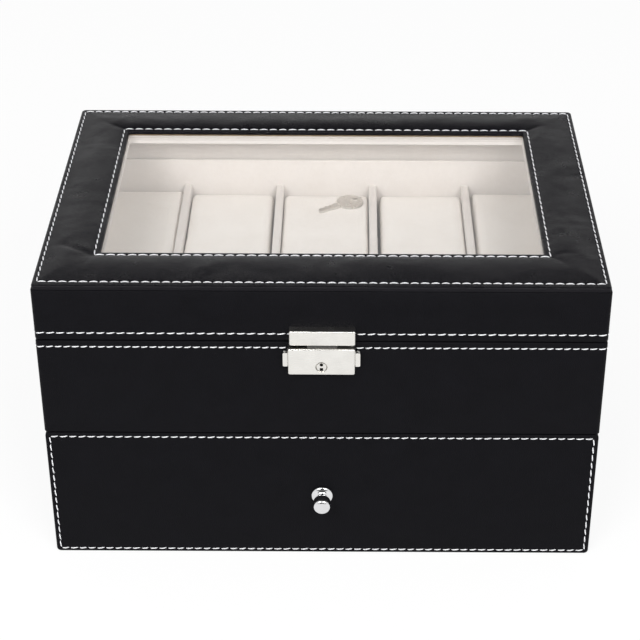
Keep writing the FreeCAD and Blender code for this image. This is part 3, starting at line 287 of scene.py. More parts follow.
def clear_glass():
    """Thin clear glass that lets daylight through to what lies under it."""
    material, tree, shader = new_material("window glass")
    shader.inputs["Base Color"].default_value = (0.995, 0.995, 0.995, 1)
    shader.inputs["Roughness"].default_value = 0.0
    shader.inputs["Transmission Weight"].default_value = 1.0
    shader.inputs["IOR"].default_value = 1.45
    rays = add_node(tree, "ShaderNodeLightPath")
    passing = number(tree, "MAXIMUM", rays.outputs["Is Shadow Ray"], rays.outputs["Is Diffuse Ray"])
    clear = add_node(tree, "ShaderNodeBsdfTransparent")
    clear.inputs["Color"].default_value = (0.96, 0.96, 0.96, 1)
    mix = add_node(tree, "ShaderNodeMixShader")
    feed(tree, passing, mix.inputs["Fac"])
    feed(tree, shader.outputs[0], mix.inputs[1])
    feed(tree, clear.outputs[0], mix.inputs[2])
    feed(tree, mix.outputs[0], tree.nodes["Material Output"].inputs["Surface"])
    return material


def thread():
    """White waxed thread with the twist of its plies; its darker, bluish bands are painted shade in the grooves
    between the plies.
    """
    material, tree, shader = new_material("white thread")
    place = add_node(tree, "ShaderNodeTexCoord")
    plies_and_groove_shade = add_node(tree, "ShaderNodeTexWave", wave_type="BANDS", bands_direction="DIAGONAL")
    plies_and_groove_shade.inputs["Scale"].default_value = 420
    plies_and_groove_shade.inputs["Distortion"].default_value = 1.5
    feed(tree, place.outputs["Object"], plies_and_groove_shade.inputs["Vector"])
    # The darker colour in the twist's bands is painted shade in the grooves between the plies; the bump gives
    # their real relief.
    feed(tree, tint(tree, plies_and_groove_shade.outputs["Fac"], (0.66, 0.66, 0.69), (0.83, 0.83, 0.84)),
         shader.inputs["Base Color"])
    shader.inputs["Roughness"].default_value = 0.6
    feed(tree, bump(tree, plies_and_groove_shade.outputs["Fac"], 0.00012), shader.inputs["Normal"])
    return material


def felt():
    material, tree, shader = new_material("black felt")
    marks = use_group(tree, NAP, Fibre=900.0)
    feed(tree, tint(tree, marks.outputs["Strokes"], (0.010, 0.010, 0.011), (0.028, 0.028, 0.030)),
         shader.inputs["Base Color"])
    shader.inputs["Roughness"].default_value = 0.95
    shader.inputs["Sheen Weight"].default_value = 0.3
    feed(tree, bump(tree, marks.outputs["Height"], 0.0006), shader.inputs["Normal"])
    return material


def foam():
    material, tree, shader = new_material("pale foam")
    place = add_node(tree, "ShaderNodeTexCoord")
    pores = add_node(tree, "ShaderNodeTexVoronoi")
    pores.inputs["Scale"].default_value = 1900
    feed(tree, place.outputs["Object"], pores.inputs["Vector"])
    # The darker colour at the pores is painted shade inside the pores; the bump gives their real relief.
    feed(tree, tint(tree, pores.outputs["Distance"], (0.45, 0.43, 0.36), (0.74, 0.72, 0.64)),
         shader.inputs["Base Color"])
    shader.inputs["Roughness"].default_value = 0.9
    feed(tree, bump(tree, pores.outputs["Distance"], 0.0003), shader.inputs["Normal"])
    return material


BLACK = (0.0029, 0.0028, 0.0037)
# The lid cover's black is lighter than the case's black: painted light for the light that falls on the top face.
BLACK_TOP_LIT = (0.0044, 0.0041, 0.0054)
CREAM = (0.80, 0.755, 0.715)
CREAM_SHADE = (0.75, 0.70, 0.655)
FINISH = {
    "case leather": leather("case leather", BLACK, 0.42, 0.05, 0.00009, 0.0006),
    "cover leather": leather("padded leather", BLACK_TOP_LIT, 0.31, 0.10, 0.00009, 0.0022),
    "lining": suede("cream lining", CREAM, CREAM_SHADE),
    "pillow": suede("cream pillow suede", (0.895, 0.85, 0.80), (0.85, 0.80, 0.745)),
    "board": fibreboard(),
    "glass": clear_glass(),
    "nickel": plated("satin nickel", (0.88, 0.86, 0.82), 0.28, 0.00002),
    # The hook's near-black colour is painted shade: the hook lies in the shade between the striker and the lock's
    # cup.
    "hook shade": plated("hook painted shade", (0.09, 0.088, 0.085), 0.45, 0.00003),
    "lock steel": plated("bare lock steel", (0.56, 0.56, 0.55), 0.34, 0.00003),
    "chrome": plated("polished chrome", (0.80, 0.80, 0.81), 0.06, 0.000004, (40.0, 40.0, 40.0)),
    "plug": plated("plated plug", (0.86, 0.84, 0.80), 0.2, 0.00001, (900.0, 60.0, 900.0)),
    # The keyway's near-black colour is painted shade inside the hole.
    "keyway": plated("keyway painted shade", (0.045, 0.042, 0.038), 0.5, 0.00002),
    "screw": plated("zinc screws", (0.60, 0.60, 0.60), 0.3, 0.00002),
    "key": plated("nickel key", (0.72, 0.695, 0.655), 0.32, 0.00002, (500.0, 500.0, 60.0)),
    "thread": thread(),
    "felt": felt(),
    "foam": foam(),
}


# Meshes: helpers

def finish_piece(name, shape, finish, body, smooth=35.0, turned=False, second=None):
    """Makes an object of a bmesh, in metres at the origin, and lets it ride on its body."""
    if turned:
        bmesh.ops.recalc_face_normals(shape, faces=shape.faces)
    mesh = bpy.data.meshes.new(name)
    shape.to_mesh(mesh)
    shape.free()
    mesh.shade_smooth()
    mesh.set_sharp_from_angle(angle=math.radians(smooth))
    mesh.materials.append(FINISH[finish])
    if second:
        mesh.materials.append(FINISH[second])
    piece = bpy.data.objects.new(name, mesh)
    bpy.context.scene.collection.objects.link(piece)
    if body:
        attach(piece, body)
    return piece


def loop_of(half_x, front, back, z, corner):
    """A flat loop with rounded corners, which the steps below start from."""
    shape = bmesh.new()
    made = bmesh.ops.create_grid(shape, x_segments=1, y_segments=1, size=1)
    fit(shape, made["verts"], half_x, front, back, z)
    bmesh.ops.bevel(shape, geom=made["verts"], offset=corner * MM, segments=4, profile=0.5,
                    affect="VERTICES", material=-1)
    bmesh.ops.delete(shape, geom=shape.faces[:], context="FACES_ONLY")
    return shape, shape.edges[:]


def fit(shape, verts, half_x, front, back, z):
    """Stretches a flat loop to a place and a size."""
    low = Vector([min(vert.co[axis] for vert in verts) for axis in range(3)])
    high = Vector([max(vert.co[axis] for vert in verts) for axis in range(3)])
    middle = (low + high) / 2
    grow_x = 2 * half_x * MM / (high.x - low.x)
    grow_y = (back - front) * MM / (high.y - low.y)
    bmesh.ops.translate(shape, verts=verts, vec=-middle)
    bmesh.ops.scale(shape, verts=verts, vec=(grow_x, grow_y, 1))
    bmesh.ops.translate(shape, verts=verts, vec=(0, (front + back) / 2 * MM, z * MM))


def step(shape, loop, station):
    """The next station of a shell: the loop is drawn on, in or out and up or down."""
    made = bmesh.ops.extrude_edge_only(shape, edges=loop)["geom"]
    fit(shape, [part for part in made if isinstance(part, bmesh.types.BMVert)], *station)
    return [part for part in made if isinstance(part, bmesh.types.BMEdge) and part.is_boundary]


def shell(stations, corner):
    """A shell of four sides through stations of (half width, front, back, height), open at both ends."""
    shape, first = loop_of(*stations[0], corner)
    last = first
    for station in stations[1:]:
        last = step(shape, last, station)
    return shape, first, last


def even(half_x, half_y, z):
    """A station that is the same at the front and the back."""
    return (half_x, -half_y, half_y, z)


def close_ring(shape, first, last):
    bmesh.ops.bridge_loops(shape, edges=first + last)


def cut_at(shape, axis, values):
    """Extra loops across a shape, where it is bent or opened afterwards."""
    normal = Vector((axis == 0, axis == 1, axis == 2))
    for value in values:
        geom = shape.verts[:] + shape.edges[:] + shape.faces[:]
        bmesh.ops.bisect_plane(shape, geom=geom, dist=1e-7, plane_co=normal * value * MM, plane_no=normal)


def stand_up(shape):
    """Turns a piece that was made lying down: what lay along Y stands along Z, and its top looks to the front."""
    quarter = Matrix.Rotation(math.radians(90), 4, "X")
    bmesh.ops.transform(shape, matrix=quarter, verts=shape.verts)


def add_shape(shape, other):
    """Adds a second shape to the first."""
    mesh = bpy.data.meshes.new("added")
    other.to_mesh(mesh)
    other.free()
    shape.from_mesh(mesh)
    bpy.data.meshes.remove(mesh)


def hole_loop(shape, segments, radius, place, turn=0.0):
    """A loop of edges standing in the front's plane, for a hole in a flat face."""
    stance = Matrix.Rotation(math.radians(90), 4, "X") @ Matrix.Rotation(turn, 4, "Z")
    matrix = Matrix.Translation(Vector(place) * MM) @ stance
    made = bmesh.ops.create_circle(shape, segments=segments, radius=radius * MM, matrix=matrix)
    return list(dict.fromkeys(edge for vert in made["verts"] for edge in vert.link_edges))


def spun(profile, steps):
    """A turned form from a profile of (radius, distance out of the front), about the front's normal."""
    shape = bmesh.new()
    edges = []
    last = None
    for radius, out in profile:
        point = shape.verts.new((radius * MM, -(100 + out) * MM, 0))
        if last:
            edges.append(shape.edges.new((last, point)))
        last = point
    bmesh.ops.spin(shape, geom=shape.verts[:] + edges, cent=(0, 0, 0), axis=(0, 1, 0), angle=math.tau,
                   steps=steps, use_merge=True)
    bmesh.ops.remove_doubles(shape, verts=shape.verts, dist=0.000001)
    return shape


def copied(node):
    """A CAD node's mesh, with its points joined."""
    shape = bmesh.new()
    shape.from_mesh(nodes[node].data)
    bmesh.ops.remove_doubles(shape, verts=shape.verts, dist=0.000002)
    bmesh.ops.dissolve_limit(shape, angle_limit=math.radians(0.6), verts=shape.verts, edges=shape.edges)
    return shape


def softened(node, name, finish, body, radius, segments=2, pressed=None):
    """A CAD node with its sharp edges eased, standing for that node.

    Given pressed (low, high, down), its points between two heights are pressed down.
    """
    shape = copied(node)
    if pressed:
        low, high, down = pressed
        for vert in shape.verts:
            if low * MM < vert.co.z < high * MM:
                vert.co.z -= down * MM
    edges = [edge for edge in shape.edges if edge.is_manifold and edge.calc_face_angle() > math.radians(40)]
    bmesh.ops.bevel(shape, geom=edges, offset=radius * MM, offset_type="OFFSET", segments=segments, profile=0.5,
                    affect="EDGES", material=-1, clamp_overlap=True, loop_slide=False)
    piece = finish_piece(name, shape, finish, body)
    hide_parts(node)
    return piece


# Leather of the case

MOUTH = 79.1    # top of the opening for the drawer
NOTCH = -91.0   # how far back the drawer's front lets into the sides


def case_leather():
    """The wrapped case: a row of thread's channel below the seam, and a rim that turns over the walls."""
    stations = [even(141.5, 99.0, 0.3), even(142.5, 100, 0.3), even(142.5, 100, 130.0), even(142.46, 99.96, 130.6),
                even(142.15, 99.65, 131.0), even(142.46, 99.96, 131.4), even(142.5, 100, 132.0),
                even(142.5, 100, 133.5), even(142.37, 99.87, 133.95), even(142.05, 99.55, 134.27),
                even(141.6, 99.1, 134.4), even(136.1, 93.6, 134.4), even(135.6, 93.1, 134.2),
                even(135.5, 93, 133.4), even(141.5, 99.0, 133.4), even(141.5, 99.0, MOUTH + 0.1)]
    shape, first, last = shell(stations, 2.0)
    close_ring(shape, first, last)
    cut_at(shape, 2, (MOUTH,))
    cut_at(shape, 1, (NOTCH,))
    gone = [face for face in shape.faces
            if face.calc_center_median().z < MOUTH * MM and face.calc_center_median().y < NOTCH * MM]
    bmesh.ops.delete(shape, geom=gone, context="FACES")
    open_edges = [edge for edge in shape.edges
                  if edge.is_boundary and max(vert.co.z for vert in edge.verts) > 0.5 * MM]
    bmesh.ops.bridge_loops(shape, edges=open_edges)
    piece = finish_piece("case_leather_wrap", shape, "case leather", "case", turned=True)
    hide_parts("case_leather")


def lid_leather():
    """The lid's sides: leather turned in under the rim, with its own row of thread above the seam."""
    stations = [even(135.8, 93.3, 135.8), even(135.8, 93.3, 135.2), even(136.2, 93.7, 134.8),
                even(141.6, 99.1, 134.8), even(142.05, 99.55, 134.93), even(142.37, 99.87, 135.25),
                even(142.5, 100, 135.7), even(142.5, 100, 138.1), even(142.46, 99.96, 138.7),
                even(142.15, 99.65, 139.1), even(142.46, 99.96, 139.5), even(142.5, 100, 140.1),
                even(142.5, 100, 162.9), even(142.2, 99.7, 163.4), even(141.5, 99, 163.4),
                even(141.5, 99, 135.8)]
    shape, first, last = shell(stations, 2.0)
    close_ring(shape, first, last)
    piece = finish_piece("lid_leather_sides", shape, "case leather", "lid", turned=True)
    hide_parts("lid_side_leather")


THREAD_PITCH = 5.05
INNER_PITCH = 5.45
COVER_CELL = 1.7
OUTER_SEAM = (139.6, -95.3, 96.8)
INNER_SEAM = (114.6, -68.8, 74.3)


def between_seams(share):
    return tuple(outer + (inner - outer) * share for outer, inner in zip(OUTER_SEAM, INNER_SEAM))


def grown(line, amount):
    return (line[0] + amount, line[1] - amount, line[2] + amount)


def strip_share(point):
    """How far a point of the cover lies from the outer seam, 0, to the inner one, 1."""
    (out_x, out_front, out_back), (in_x, in_front, in_back) = OUTER_SEAM, INNER_SEAM
    return min((out_x - abs(point.x)) / (out_x - in_x), (point.y - out_front) / (in_front - out_front),
               (out_back - point.y) / (out_back - in_back))


# Creases that run out from the window's corners: corner, direction in degrees, length and depth
CREASES = ((-1, -1, 155, 25, 0.55), (-1, -1, 192, 12, 0.18), (-1, -1, 248, 15, 0.30), (1, -1, 8, 17, 0.35),
           (1, -1, -58, 15, 0.35), (1, 1, 20, 14, 0.30), (1, 1, 75, 12, 0.25), (-1, 1, 150, 17, 0.35),
           (-1, 1, 100, 12, 0.25))


def slack_of(point):
    """How far slack leather dips or rises at a point of the cover, in millimetres."""
    share = strip_share(point)
    if not 0 < share < 1:
        return 0.0
    full = math.sin(math.pi * share) ** 0.7
    dip = 0.30 * full * noise.noise(Vector((point.x / 21, point.y / 15, 0.3)))
    dip += 0.10 * full * noise.noise(Vector((point.x / 6.5, point.y / 6.5, 4.1)))
    for side, end, turn, length, depth in CREASES:
        start = Vector((side * INNER_SEAM[0], INNER_SEAM[1] if end < 0 else INNER_SEAM[2]))
        way = Vector((math.cos(math.radians(turn)), math.sin(math.radians(turn))))
        away = Vector((point.x, point.y)) - start
        along = away.dot(way)
        if 0 < along < length:
            bend = away.x * way.y - away.y * way.x + 0.9 * math.sin(along / 4.2)
            dip -= depth * math.exp(-(bend / 1.5) ** 2) * math.sin(math.pi * (along / length) ** 0.7) * 1.2
    seam = min(share, 1 - share) * 25
    pulled = math.cos(math.tau * (point.x + point.y) / THREAD_PITCH)
    return dip - 0.10 * math.exp(-(seam / 2.2) ** 2) * (1 + pulled)


def padded_cover():
    """The lid's padded top: turned edges, a channel under each row of thread and foam swelling between."""
    edge, window = (142.0, -99.5, 99.5), (111.9, -66.1, 72.1)
    top = 166.0
    stations = [(*edge, 163.6), (*edge, 165.1), (*grown(edge, -0.12), 165.55), (*grown(edge, -0.45), 165.88),
                (*grown(edge, -0.95), top), (*grown(OUTER_SEAM, 0.9), top + 0.04),
                (*grown(OUTER_SEAM, 0.45), top - 0.05), (*OUTER_SEAM, top - 0.38),
                (*grown(OUTER_SEAM, -0.45), top - 0.08)]
    for part in range(1, 14):
        share = part / 14
        rise = math.sin(math.pi * share ** 1.4) ** 0.9
        stations.append((*between_seams(0.02 + share * 0.96), top + 1.4 * rise))
    stations += [(*grown(INNER_SEAM, 0.45), top - 0.08), (*INNER_SEAM, top - 0.42),
                 (*grown(INNER_SEAM, -0.45), top - 0.08), (*grown(INNER_SEAM, -0.9), top - 0.04),
                 (*grown(window, 0.8), top - 0.12), (*grown(window, 0.35), 165.75), (*grown(window, 0.08), 165.45),
                 (*window, 165.0), (*window, 163.6), (*grown(window, 0.8), 163.6),
                 (*grown(edge, -0.8), 163.6)]
    shape, first, last = shell(stations, 2.0)
    close_ring(shape, first, last)
    cut_at(shape, 0, [place * COVER_CELL for place in range(-82, 83)])
    cut_at(shape, 1, [place * COVER_CELL for place in range(-57, 58)])
    for vert in shape.verts:
        if vert.co.z > (top - 0.2) * MM:
            vert.co.z += slack_of(vert.co / MM) * MM
    piece = finish_piece("lid_cover_leather", shape, "cover leather", "lid", turned=True)
    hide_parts("lid_top_leather")


def drawer_leather():
    """The drawer's front: leather turned over every edge, with a channel for its rectangle of thread."""
    stations = [(137.9, 4.9, 73.6, 91.2), (141.3, 1.5, 77.0, 91.2), (142.0, 0.7, 77.8, 91.45),
                (142.35, 0.3, 78.2, 92.1), (142.35, 0.3, 78.2, 98.9), (142.24, 0.41, 78.09, 99.5),
                (141.95, 0.7, 77.8, 99.87), (141.5, 1.15, 77.35, 100.0), (140.5, 2.0, 76.5, 100.0),
                (140.25, 2.25, 76.25, 99.93), (139.9, 2.6, 75.9, 99.64), (139.55, 2.95, 75.55, 99.93),
                (139.2, 3.3, 75.2, 100.0)]
    shape, first, last = shell(stations, 2.0)
    bmesh.ops.holes_fill(shape, edges=last, sides=0)
    stand_up(shape)
    piece = finish_piece("drawer_front_wrap", shape, "case leather", "drawer", turned=True)
    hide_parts("drawer_front_leather")


# Rows of thread

def stitch_pattern():
    """One stitch: a short arch of thread that goes down into the leather at both ends."""
    shape = bmesh.new()
    bmesh.ops.create_uvsphere(shape, u_segments=6, v_segments=8, radius=1)
    bmesh.ops.rotate(shape, verts=shape.verts, cent=(0, 0, 0), matrix=Matrix.Rotation(math.pi / 2, 3, "Y"))
    for vert in shape.verts:
        inside = 1 - vert.co.x ** 2
        if inside > 0.001:
            vert.co.y *= inside ** -0.25
            vert.co.z *= inside ** -0.25
        vert.co.z += 1.5 * inside
    mesh = bpy.data.meshes.new("stitch_pattern")
    shape.to_mesh(mesh)
    shape.free()
    return mesh


STITCH = stitch_pattern()


def sew(shape, start, end, out, pitch, skipped=None, lean=7.0, thick=0.34):
    """Sews a straight row: each stitch leans a little, and dips into the leather at its ends."""
    start, end, out = Vector(start) * MM, Vector(end) * MM, Vector(out)
    along = (end - start).normalized()
    count = max(1, round((end - start).length / (pitch * MM)))
    gap = (end - start) / count
    for place in range(count):
        middle = start + gap * (place + 0.5)
        if skipped and skipped(middle / MM):
            continue
        tilt = math.radians(lean + 2.5 * math.sin(place * 2.7))
        long_way = Matrix.Rotation(tilt, 3, out) @ along
        turn = Matrix((long_way, out.cross(long_way), out)).transposed().to_4x4()
        size = Matrix.Diagonal((gap.length * (0.44 + 0.02 * math.sin(place * 1.9)), thick * MM, thick * MM, 1))
        before = len(shape.verts)
        shape.from_mesh(STITCH)
        shape.verts.ensure_lookup_table()
        added = shape.verts[before:]
        bmesh.ops.transform(shape, matrix=Matrix.Translation(middle - out * 0.42 * MM) @ turn @ size, verts=added)


def sew_around(shape, half_x, front, back, height, pitch, skipped=None):
    """A row around the four sides of the box, on its outer face."""
    sew(shape, (-half_x + 0.6, front, height), (half_x - 0.6, front, height), (0, -1, 0), pitch, skipped)
    sew(shape, (half_x - 0.6, back, height), (-half_x + 0.6, back, height), (0, 1, 0), pitch)
    sew(shape, (half_x, front + 0.6, height), (half_x, back - 0.6, height), (1, 0, 0), pitch)
    sew(shape, (-half_x, back - 0.6, height), (-half_x, front + 0.6, height), (-1, 0, 0), pitch)


def sew_rectangle(shape, line, z, pitch):
    """A rectangle of thread on the lid's top."""
    half_x, front, back = line
    sew(shape, (-half_x, front, z), (half_x, front, z), (0, 0, 1), pitch, lean=2.0)
    sew(shape, (half_x, front, z), (half_x, back, z), (0, 0, 1), pitch)
    sew(shape, (half_x, back, z), (-half_x, back, z), (0, 0, 1), pitch, lean=2.0)
    sew(shape, (-half_x, back, z), (-half_x, front, z), (0, 0, 1), pitch)


def threads():
    case_row = bmesh.new()
    sew_around(case_row, 142.5, -100, 100, 131.0, 4.27, lambda at: abs(at.x) < 14.6)
    finish_piece("case_thread", case_row, "thread", "case", smooth=80)
    lid_row = bmesh.new()
    sew_around(lid_row, 142.5, -100, 100, 139.1, 4.95, lambda at: abs(at.x - 0.4) < 14.2)
    finish_piece("lid_side_thread", lid_row, "thread", "lid", smooth=80)
    cover_rows = bmesh.new()
    sew_rectangle(cover_rows, OUTER_SEAM, 166.0, THREAD_PITCH)
    sew_rectangle(cover_rows, INNER_SEAM, 165.95, INNER_PITCH)
    finish_piece("lid_cover_thread", cover_rows, "thread", "lid", smooth=80)
    drawer_rows = bmesh.new()
    corners = ((-139.9, 75.9), (139.9, 75.9), (139.9, 2.6), (-139.9, 2.6))
    for start, end in zip(corners, corners[1:] + corners[:1]):
        sew(drawer_rows, (start[0], -100, start[1]), (end[0], -100, end[1]), (0, -1, 0), 4.75)
    finish_piece("drawer_thread", drawer_rows, "thread", "drawer", smooth=80)


# Watch pillows

PILLOW_VOXEL = 0.0013
PILLOW_SWELL = 0.0005


def stuffed_pillow():
    """One pillow, blown up a little by a cloth simulation, then folded in at its ends."""
    low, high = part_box("tray_pillow_3")
    middle = (low + high) / 2
    shape = bmesh.new()
    bmesh.ops.create_cube(shape, size=1)
    bmesh.ops.scale(shape, verts=shape.verts, vec=(high - low) - Vector((0.0002, 0.0014, 0.0012)))
    bmesh.ops.bevel(shape, geom=shape.edges[:], offset=0.0012, segments=2, profile=0.5, affect="EDGES",
                    material=-1)
    mesh = bpy.data.meshes.new("pillow_form")
    shape.to_mesh(mesh)
    shape.free()
    form = bpy.data.objects.new("pillow_form", mesh)
    bpy.context.scene.collection.objects.link(form)
    remesh = form.modifiers.new("remesh", "REMESH")
    remesh.mode = "VOXEL"
    remesh.voxel_size = PILLOW_VOXEL
    apply_modifier(form, remesh)
    rest = [vert.co.copy() for vert in form.data.vertices]
    inflate(form, rest, PILLOW_SWELL)
    half = (high - low) / 2
    for vert in form.data.vertices:
        fold_end(vert, half)
    mesh = form.data
    bpy.data.objects.remove(form)
    mesh.shade_smooth()
    return mesh, middle


def apply_modifier(thing, modifier):
    bpy.context.view_layer.objects.active = thing
    with bpy.context.temp_override(object=thing, active_object=thing, selected_objects=[thing]):
        bpy.ops.object.modifier_apply(modifier=modifier.name)


def inflate(form, rest, cap):
    """Pressure from the stuffing, with each point kept within a cap of where it began."""
    cloth = form.modifiers.new("stuffing", "CLOTH")
    cloth.settings.use_pressure = True
    cloth.settings.uniform_pressure_force = 4
    cloth.settings.effector_weights.gravity = 0
    cloth.settings.tension_stiffness = 40
    cloth.settings.compression_stiffness = 40
    cloth.settings.bending_stiffness = 4
    scene = bpy.context.scene
    for moment in range(1, 21):
        scene.frame_set(moment)
    apply_modifier(form, cloth)
    scene.frame_set(1)
    for vert, start in zip(form.data.vertices, rest):
        move = vert.co - start
        if move.length > cap:
            vert.co = start + move.normalized() * cap


def fold_end(vert, half):
    """The suede is folded over at both ends, like paper round a box, and stitched across."""
    depth = abs(vert.co.y) / half.y
    if depth < 0.9:
        return
    share = min(1.0, (depth - 0.9) / 0.08)
    level = vert.co.z / 0.0011
    reach = max(0.0, 1 - abs(vert.co.x) / (half.x * 0.93))
    crease = math.exp(-level * level) * (0.35 + 0.65 * min(1.0, reach * 4))
    slope = (abs(vert.co.z) - (half.x - abs(vert.co.x)) * 0.72) / 0.0014
    tuck = math.exp(-slope * slope) * (1 if abs(vert.co.z) < half.z * 0.8 else 0.3)
    vert.co.y -= math.copysign((0.9 * crease + 0.4 * tuck) * share * MM, vert.co.y)


# How the pillows of the back row lie in their slots, in mm: fuller to the left, to the right, drawn in and slack
# at the back
SETTLED = {6: (0.0, 0.9, 0.4, 1.0), 7: (0.4, -0.5, 1.6, 2.4), 8: (0.8, 0.6, 1.8, 2.9), 9: (-1.0, 0.8, 2.0, 2.9),
           10: (-0.6, 0.2, 1.2, 1.4)}


def lay_pillow(mesh, middle, name, turn, body, settled=(0.0, 0.0, 0.0, 0.0)):
    """A copy of the pillow at a place, turned end for end where asked, and settled as it lies."""
    copy = mesh.copy()
    copy.name = name
    copy.transform(Matrix.Rotation(math.pi * turn, 4, "Z"))
    left, right, drawn_in, slack = (amount * MM for amount in settled)
    near, far = (pick(vert.co.y for vert in copy.vertices) for pick in (min, max))
    half = max(vert.co.x for vert in copy.vertices)
    for vert in copy.vertices:
        vert.co.x *= 1 + (right if vert.co.x > 0 else left) / half
        share = min(1.0, max(0.0, (vert.co.y - far + 10.5 * MM) / (10.5 * MM)))
        vert.co.y -= drawn_in * (vert.co.y - near) / (far - near)
        if vert.co.z > 0:
            vert.co.z -= slack * share * share * (3 - 2 * share) * min(1.0, vert.co.z / 0.012)
    copy.transform(Matrix.Translation(middle))
    copy.materials.append(FINISH["pillow"])
    piece = bpy.data.objects.new(name, copy)
    bpy.context.scene.collection.objects.link(piece)
    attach(piece, body)
    return piece


def pillows():
    mesh, middle = stuffed_pillow()
    for count in range(1, 11):
        low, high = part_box("tray_pillow_%d" % count)
        piece = lay_pillow(mesh, (low + high) / 2, "tray_cushion_%d" % count, count % 2, "pillow_%d" % count,
                           SETTLED.get(count, (0.0, 0.0, 0.0, 0.0)))
        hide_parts("tray_pillow_%d" % count)
    low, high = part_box("drawer_pillows")
    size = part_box("tray_pillow_1")[1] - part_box("tray_pillow_1")[0]
    for row, place_y in enumerate((low.y + size.y / 2, high.y - size.y / 2)):
        for column in range(5):
            place_x = (column - 2) * (high.x - low.x - size.x) / 4
            count = row * 5 + column + 1
            spot = Vector((place_x, place_y, (low.z + high.z) / 2))
            piece = lay_pillow(mesh, spot, "drawer_cushion_%d" % count, (count + 1) % 2, "drawer")
            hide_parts("drawer_pillows")


# Linings, dividers and metal

PLUG_HIGH = 122.6
KNOB_HIGH = 39.2


def linings():
    for node in ("tray_long_divider", "tray_short_dividers"):
        softened(node, node + "_suede", "lining", "case", 0.9, 3)
    for node in ("drawer_long_divider", "drawer_short_dividers"):
        softened(node, node + "_suede", "lining", "drawer", 0.9, 3)
    softened("drawer_lining", "drawer_suede_lining", "lining", "drawer", 0.35)
    softened("lid_lining", "lid_suede_lining", "lining", "lid", 0.3, 2, (157.9, 158.3, 1.6))
    softened("tray_wall_lining", "tray_suede_walls", "lining", "case", 0.3, 2, (137.0, 138.1, 1.5))


def pressed_cup(half, low, high):
    """Half of the lock's pressed sheet, still lying down: straight walls and a rounded rim, open in front."""
    rim, face = 0.8, 104.8
    stations = [(half, low, high, 100.0), (half, low, high, face - rim)]
    for turn in (22.5, 45, 67.5, 90):
        inset = rim * (1 - math.cos(math.radians(turn)))
        rise = rim * math.sin(math.radians(turn))
        stations.append((half - inset, low + inset, high - inset, face - rim + rise))
    return shell(stations, 0.9)[0]


def close_face(shape, loops):
    """Closes the front of a cup around its holes, and gives the sheet its thickness."""
    rim = [edge for edge in shape.edges if edge.is_boundary and edge.verts[0].co.y < -104.7 * MM]
    bmesh.ops.triangle_fill(shape, edges=rim + loops, use_beauty=True)
    bmesh.ops.recalc_face_normals(shape, faces=shape.faces)
    if max(shape.faces, key=lambda face: face.calc_area()).normal.y > 0:
        bmesh.ops.reverse_faces(shape, faces=shape.faces)
    bmesh.ops.solidify(shape, geom=shape.faces[:], thickness=0.7 * MM)


def lock():
    """The lock's case with its slots for the ears and round hole, the striker with its hook, and the plug."""
    shape = pressed_cup(16.75, 117.8, 133.0)
    cut_at(shape, 2, (100.75, 101.85))
    cut_at(shape, 1, (118.7, 130.2))
    gone = [face for face in shape.faces if abs(face.calc_center_median().x) > 16.7 * MM and
            100.75 < face.calc_center_median().z / MM < 101.85 and
            118.7 < face.calc_center_median().y / MM < 130.2]
    bmesh.ops.delete(shape, geom=gone, context="FACES")
    stand_up(shape)
    close_face(shape, hole_loop(shape, 32, 2.97, (0, -104.8, PLUG_HIGH)))
    piece = finish_piece("lock_case_cup", shape, "nickel", "case", smooth=30)
    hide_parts("lock_case")

    shape = pressed_cup(16.4, 135.0, 143.4)
    stand_up(shape)
    close_face(shape, [])
    hook, loop = loop_of(7.5, 127.5, 141.5, 102.2, 0.9)
    step(hook, loop, (5.3, 128.5, 131.8, 102.2))
    made = bmesh.ops.extrude_face_region(hook, geom=hook.faces[:])["geom"]
    raised = [part for part in made if isinstance(part, bmesh.types.BMVert)]
    bmesh.ops.translate(hook, verts=raised, vec=(0, 0, 0.9 * MM))
    stand_up(hook)
    bmesh.ops.recalc_face_normals(hook, faces=hook.faces)
    # The hook takes the second finish, near-black painted shade for the gap between the cups.
    for face in hook.faces:
        face.material_index = 1
    add_shape(shape, hook)
    for side in (-1, 1):
        stance = Matrix.Translation(Vector((side * 11, -102.2, 139.6)) * MM) @ Matrix.Rotation(math.pi / 2, 4, "X")
        bmesh.ops.create_cone(shape, cap_ends=True, segments=20, radius1=1.9 * MM, radius2=1.9 * MM,
                              depth=4.4 * MM, matrix=stance)
    bmesh.ops.translate(shape, verts=shape.verts, vec=(0.4 * MM, 0, 0))
    piece = finish_piece("striker_cup", shape, "nickel", "lid", smooth=30, second="hook shade")
    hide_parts("striker_plate")

    shape = spun([(0, 0.95), (1.6, 0.95), (1.6, 2.4), (2.9, 2.4), (2.9, 4.0), (2.62, 4.22), (2.5, 4.27),
                  (2.5, 4.76), (2.46, 4.86), (2.38, 4.9)], 40)
    rim = [edge for edge in shape.edges if edge.is_boundary]
    ward = hole_loop(shape, 14, 0.9, (0, -104.9, 1.4)) + hole_loop(shape, 4, 1.2, (0, -104.9, -1.3), math.pi / 4)
    bmesh.ops.triangle_fill(shape, edges=rim + ward, use_beauty=True)
    walls = bmesh.ops.extrude_edge_only(shape, edges=ward)["geom"]
    deep = [part for part in walls if isinstance(part, bmesh.types.BMVert)]
    bmesh.ops.translate(shape, verts=deep, vec=(0, 2.0 * MM, 0))
    floor = bmesh.ops.holes_fill(shape, edges=[edge for edge in shape.edges if edge.is_boundary], sides=0)["faces"]
    # The keyway's walls and floor take the second finish, painted shade for the depth of the hole.
    for face in floor + [part for part in walls if isinstance(part, bmesh.types.BMFace)]:
        face.material_index = 1
    bmesh.ops.translate(shape, verts=shape.verts, vec=(0, 0, PLUG_HIGH * MM))
    piece = finish_piece("lock_plug_keyed", shape, "plug", "lock_core", smooth=40, turned=True,
                         second="keyway")
    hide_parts("lock_plug")


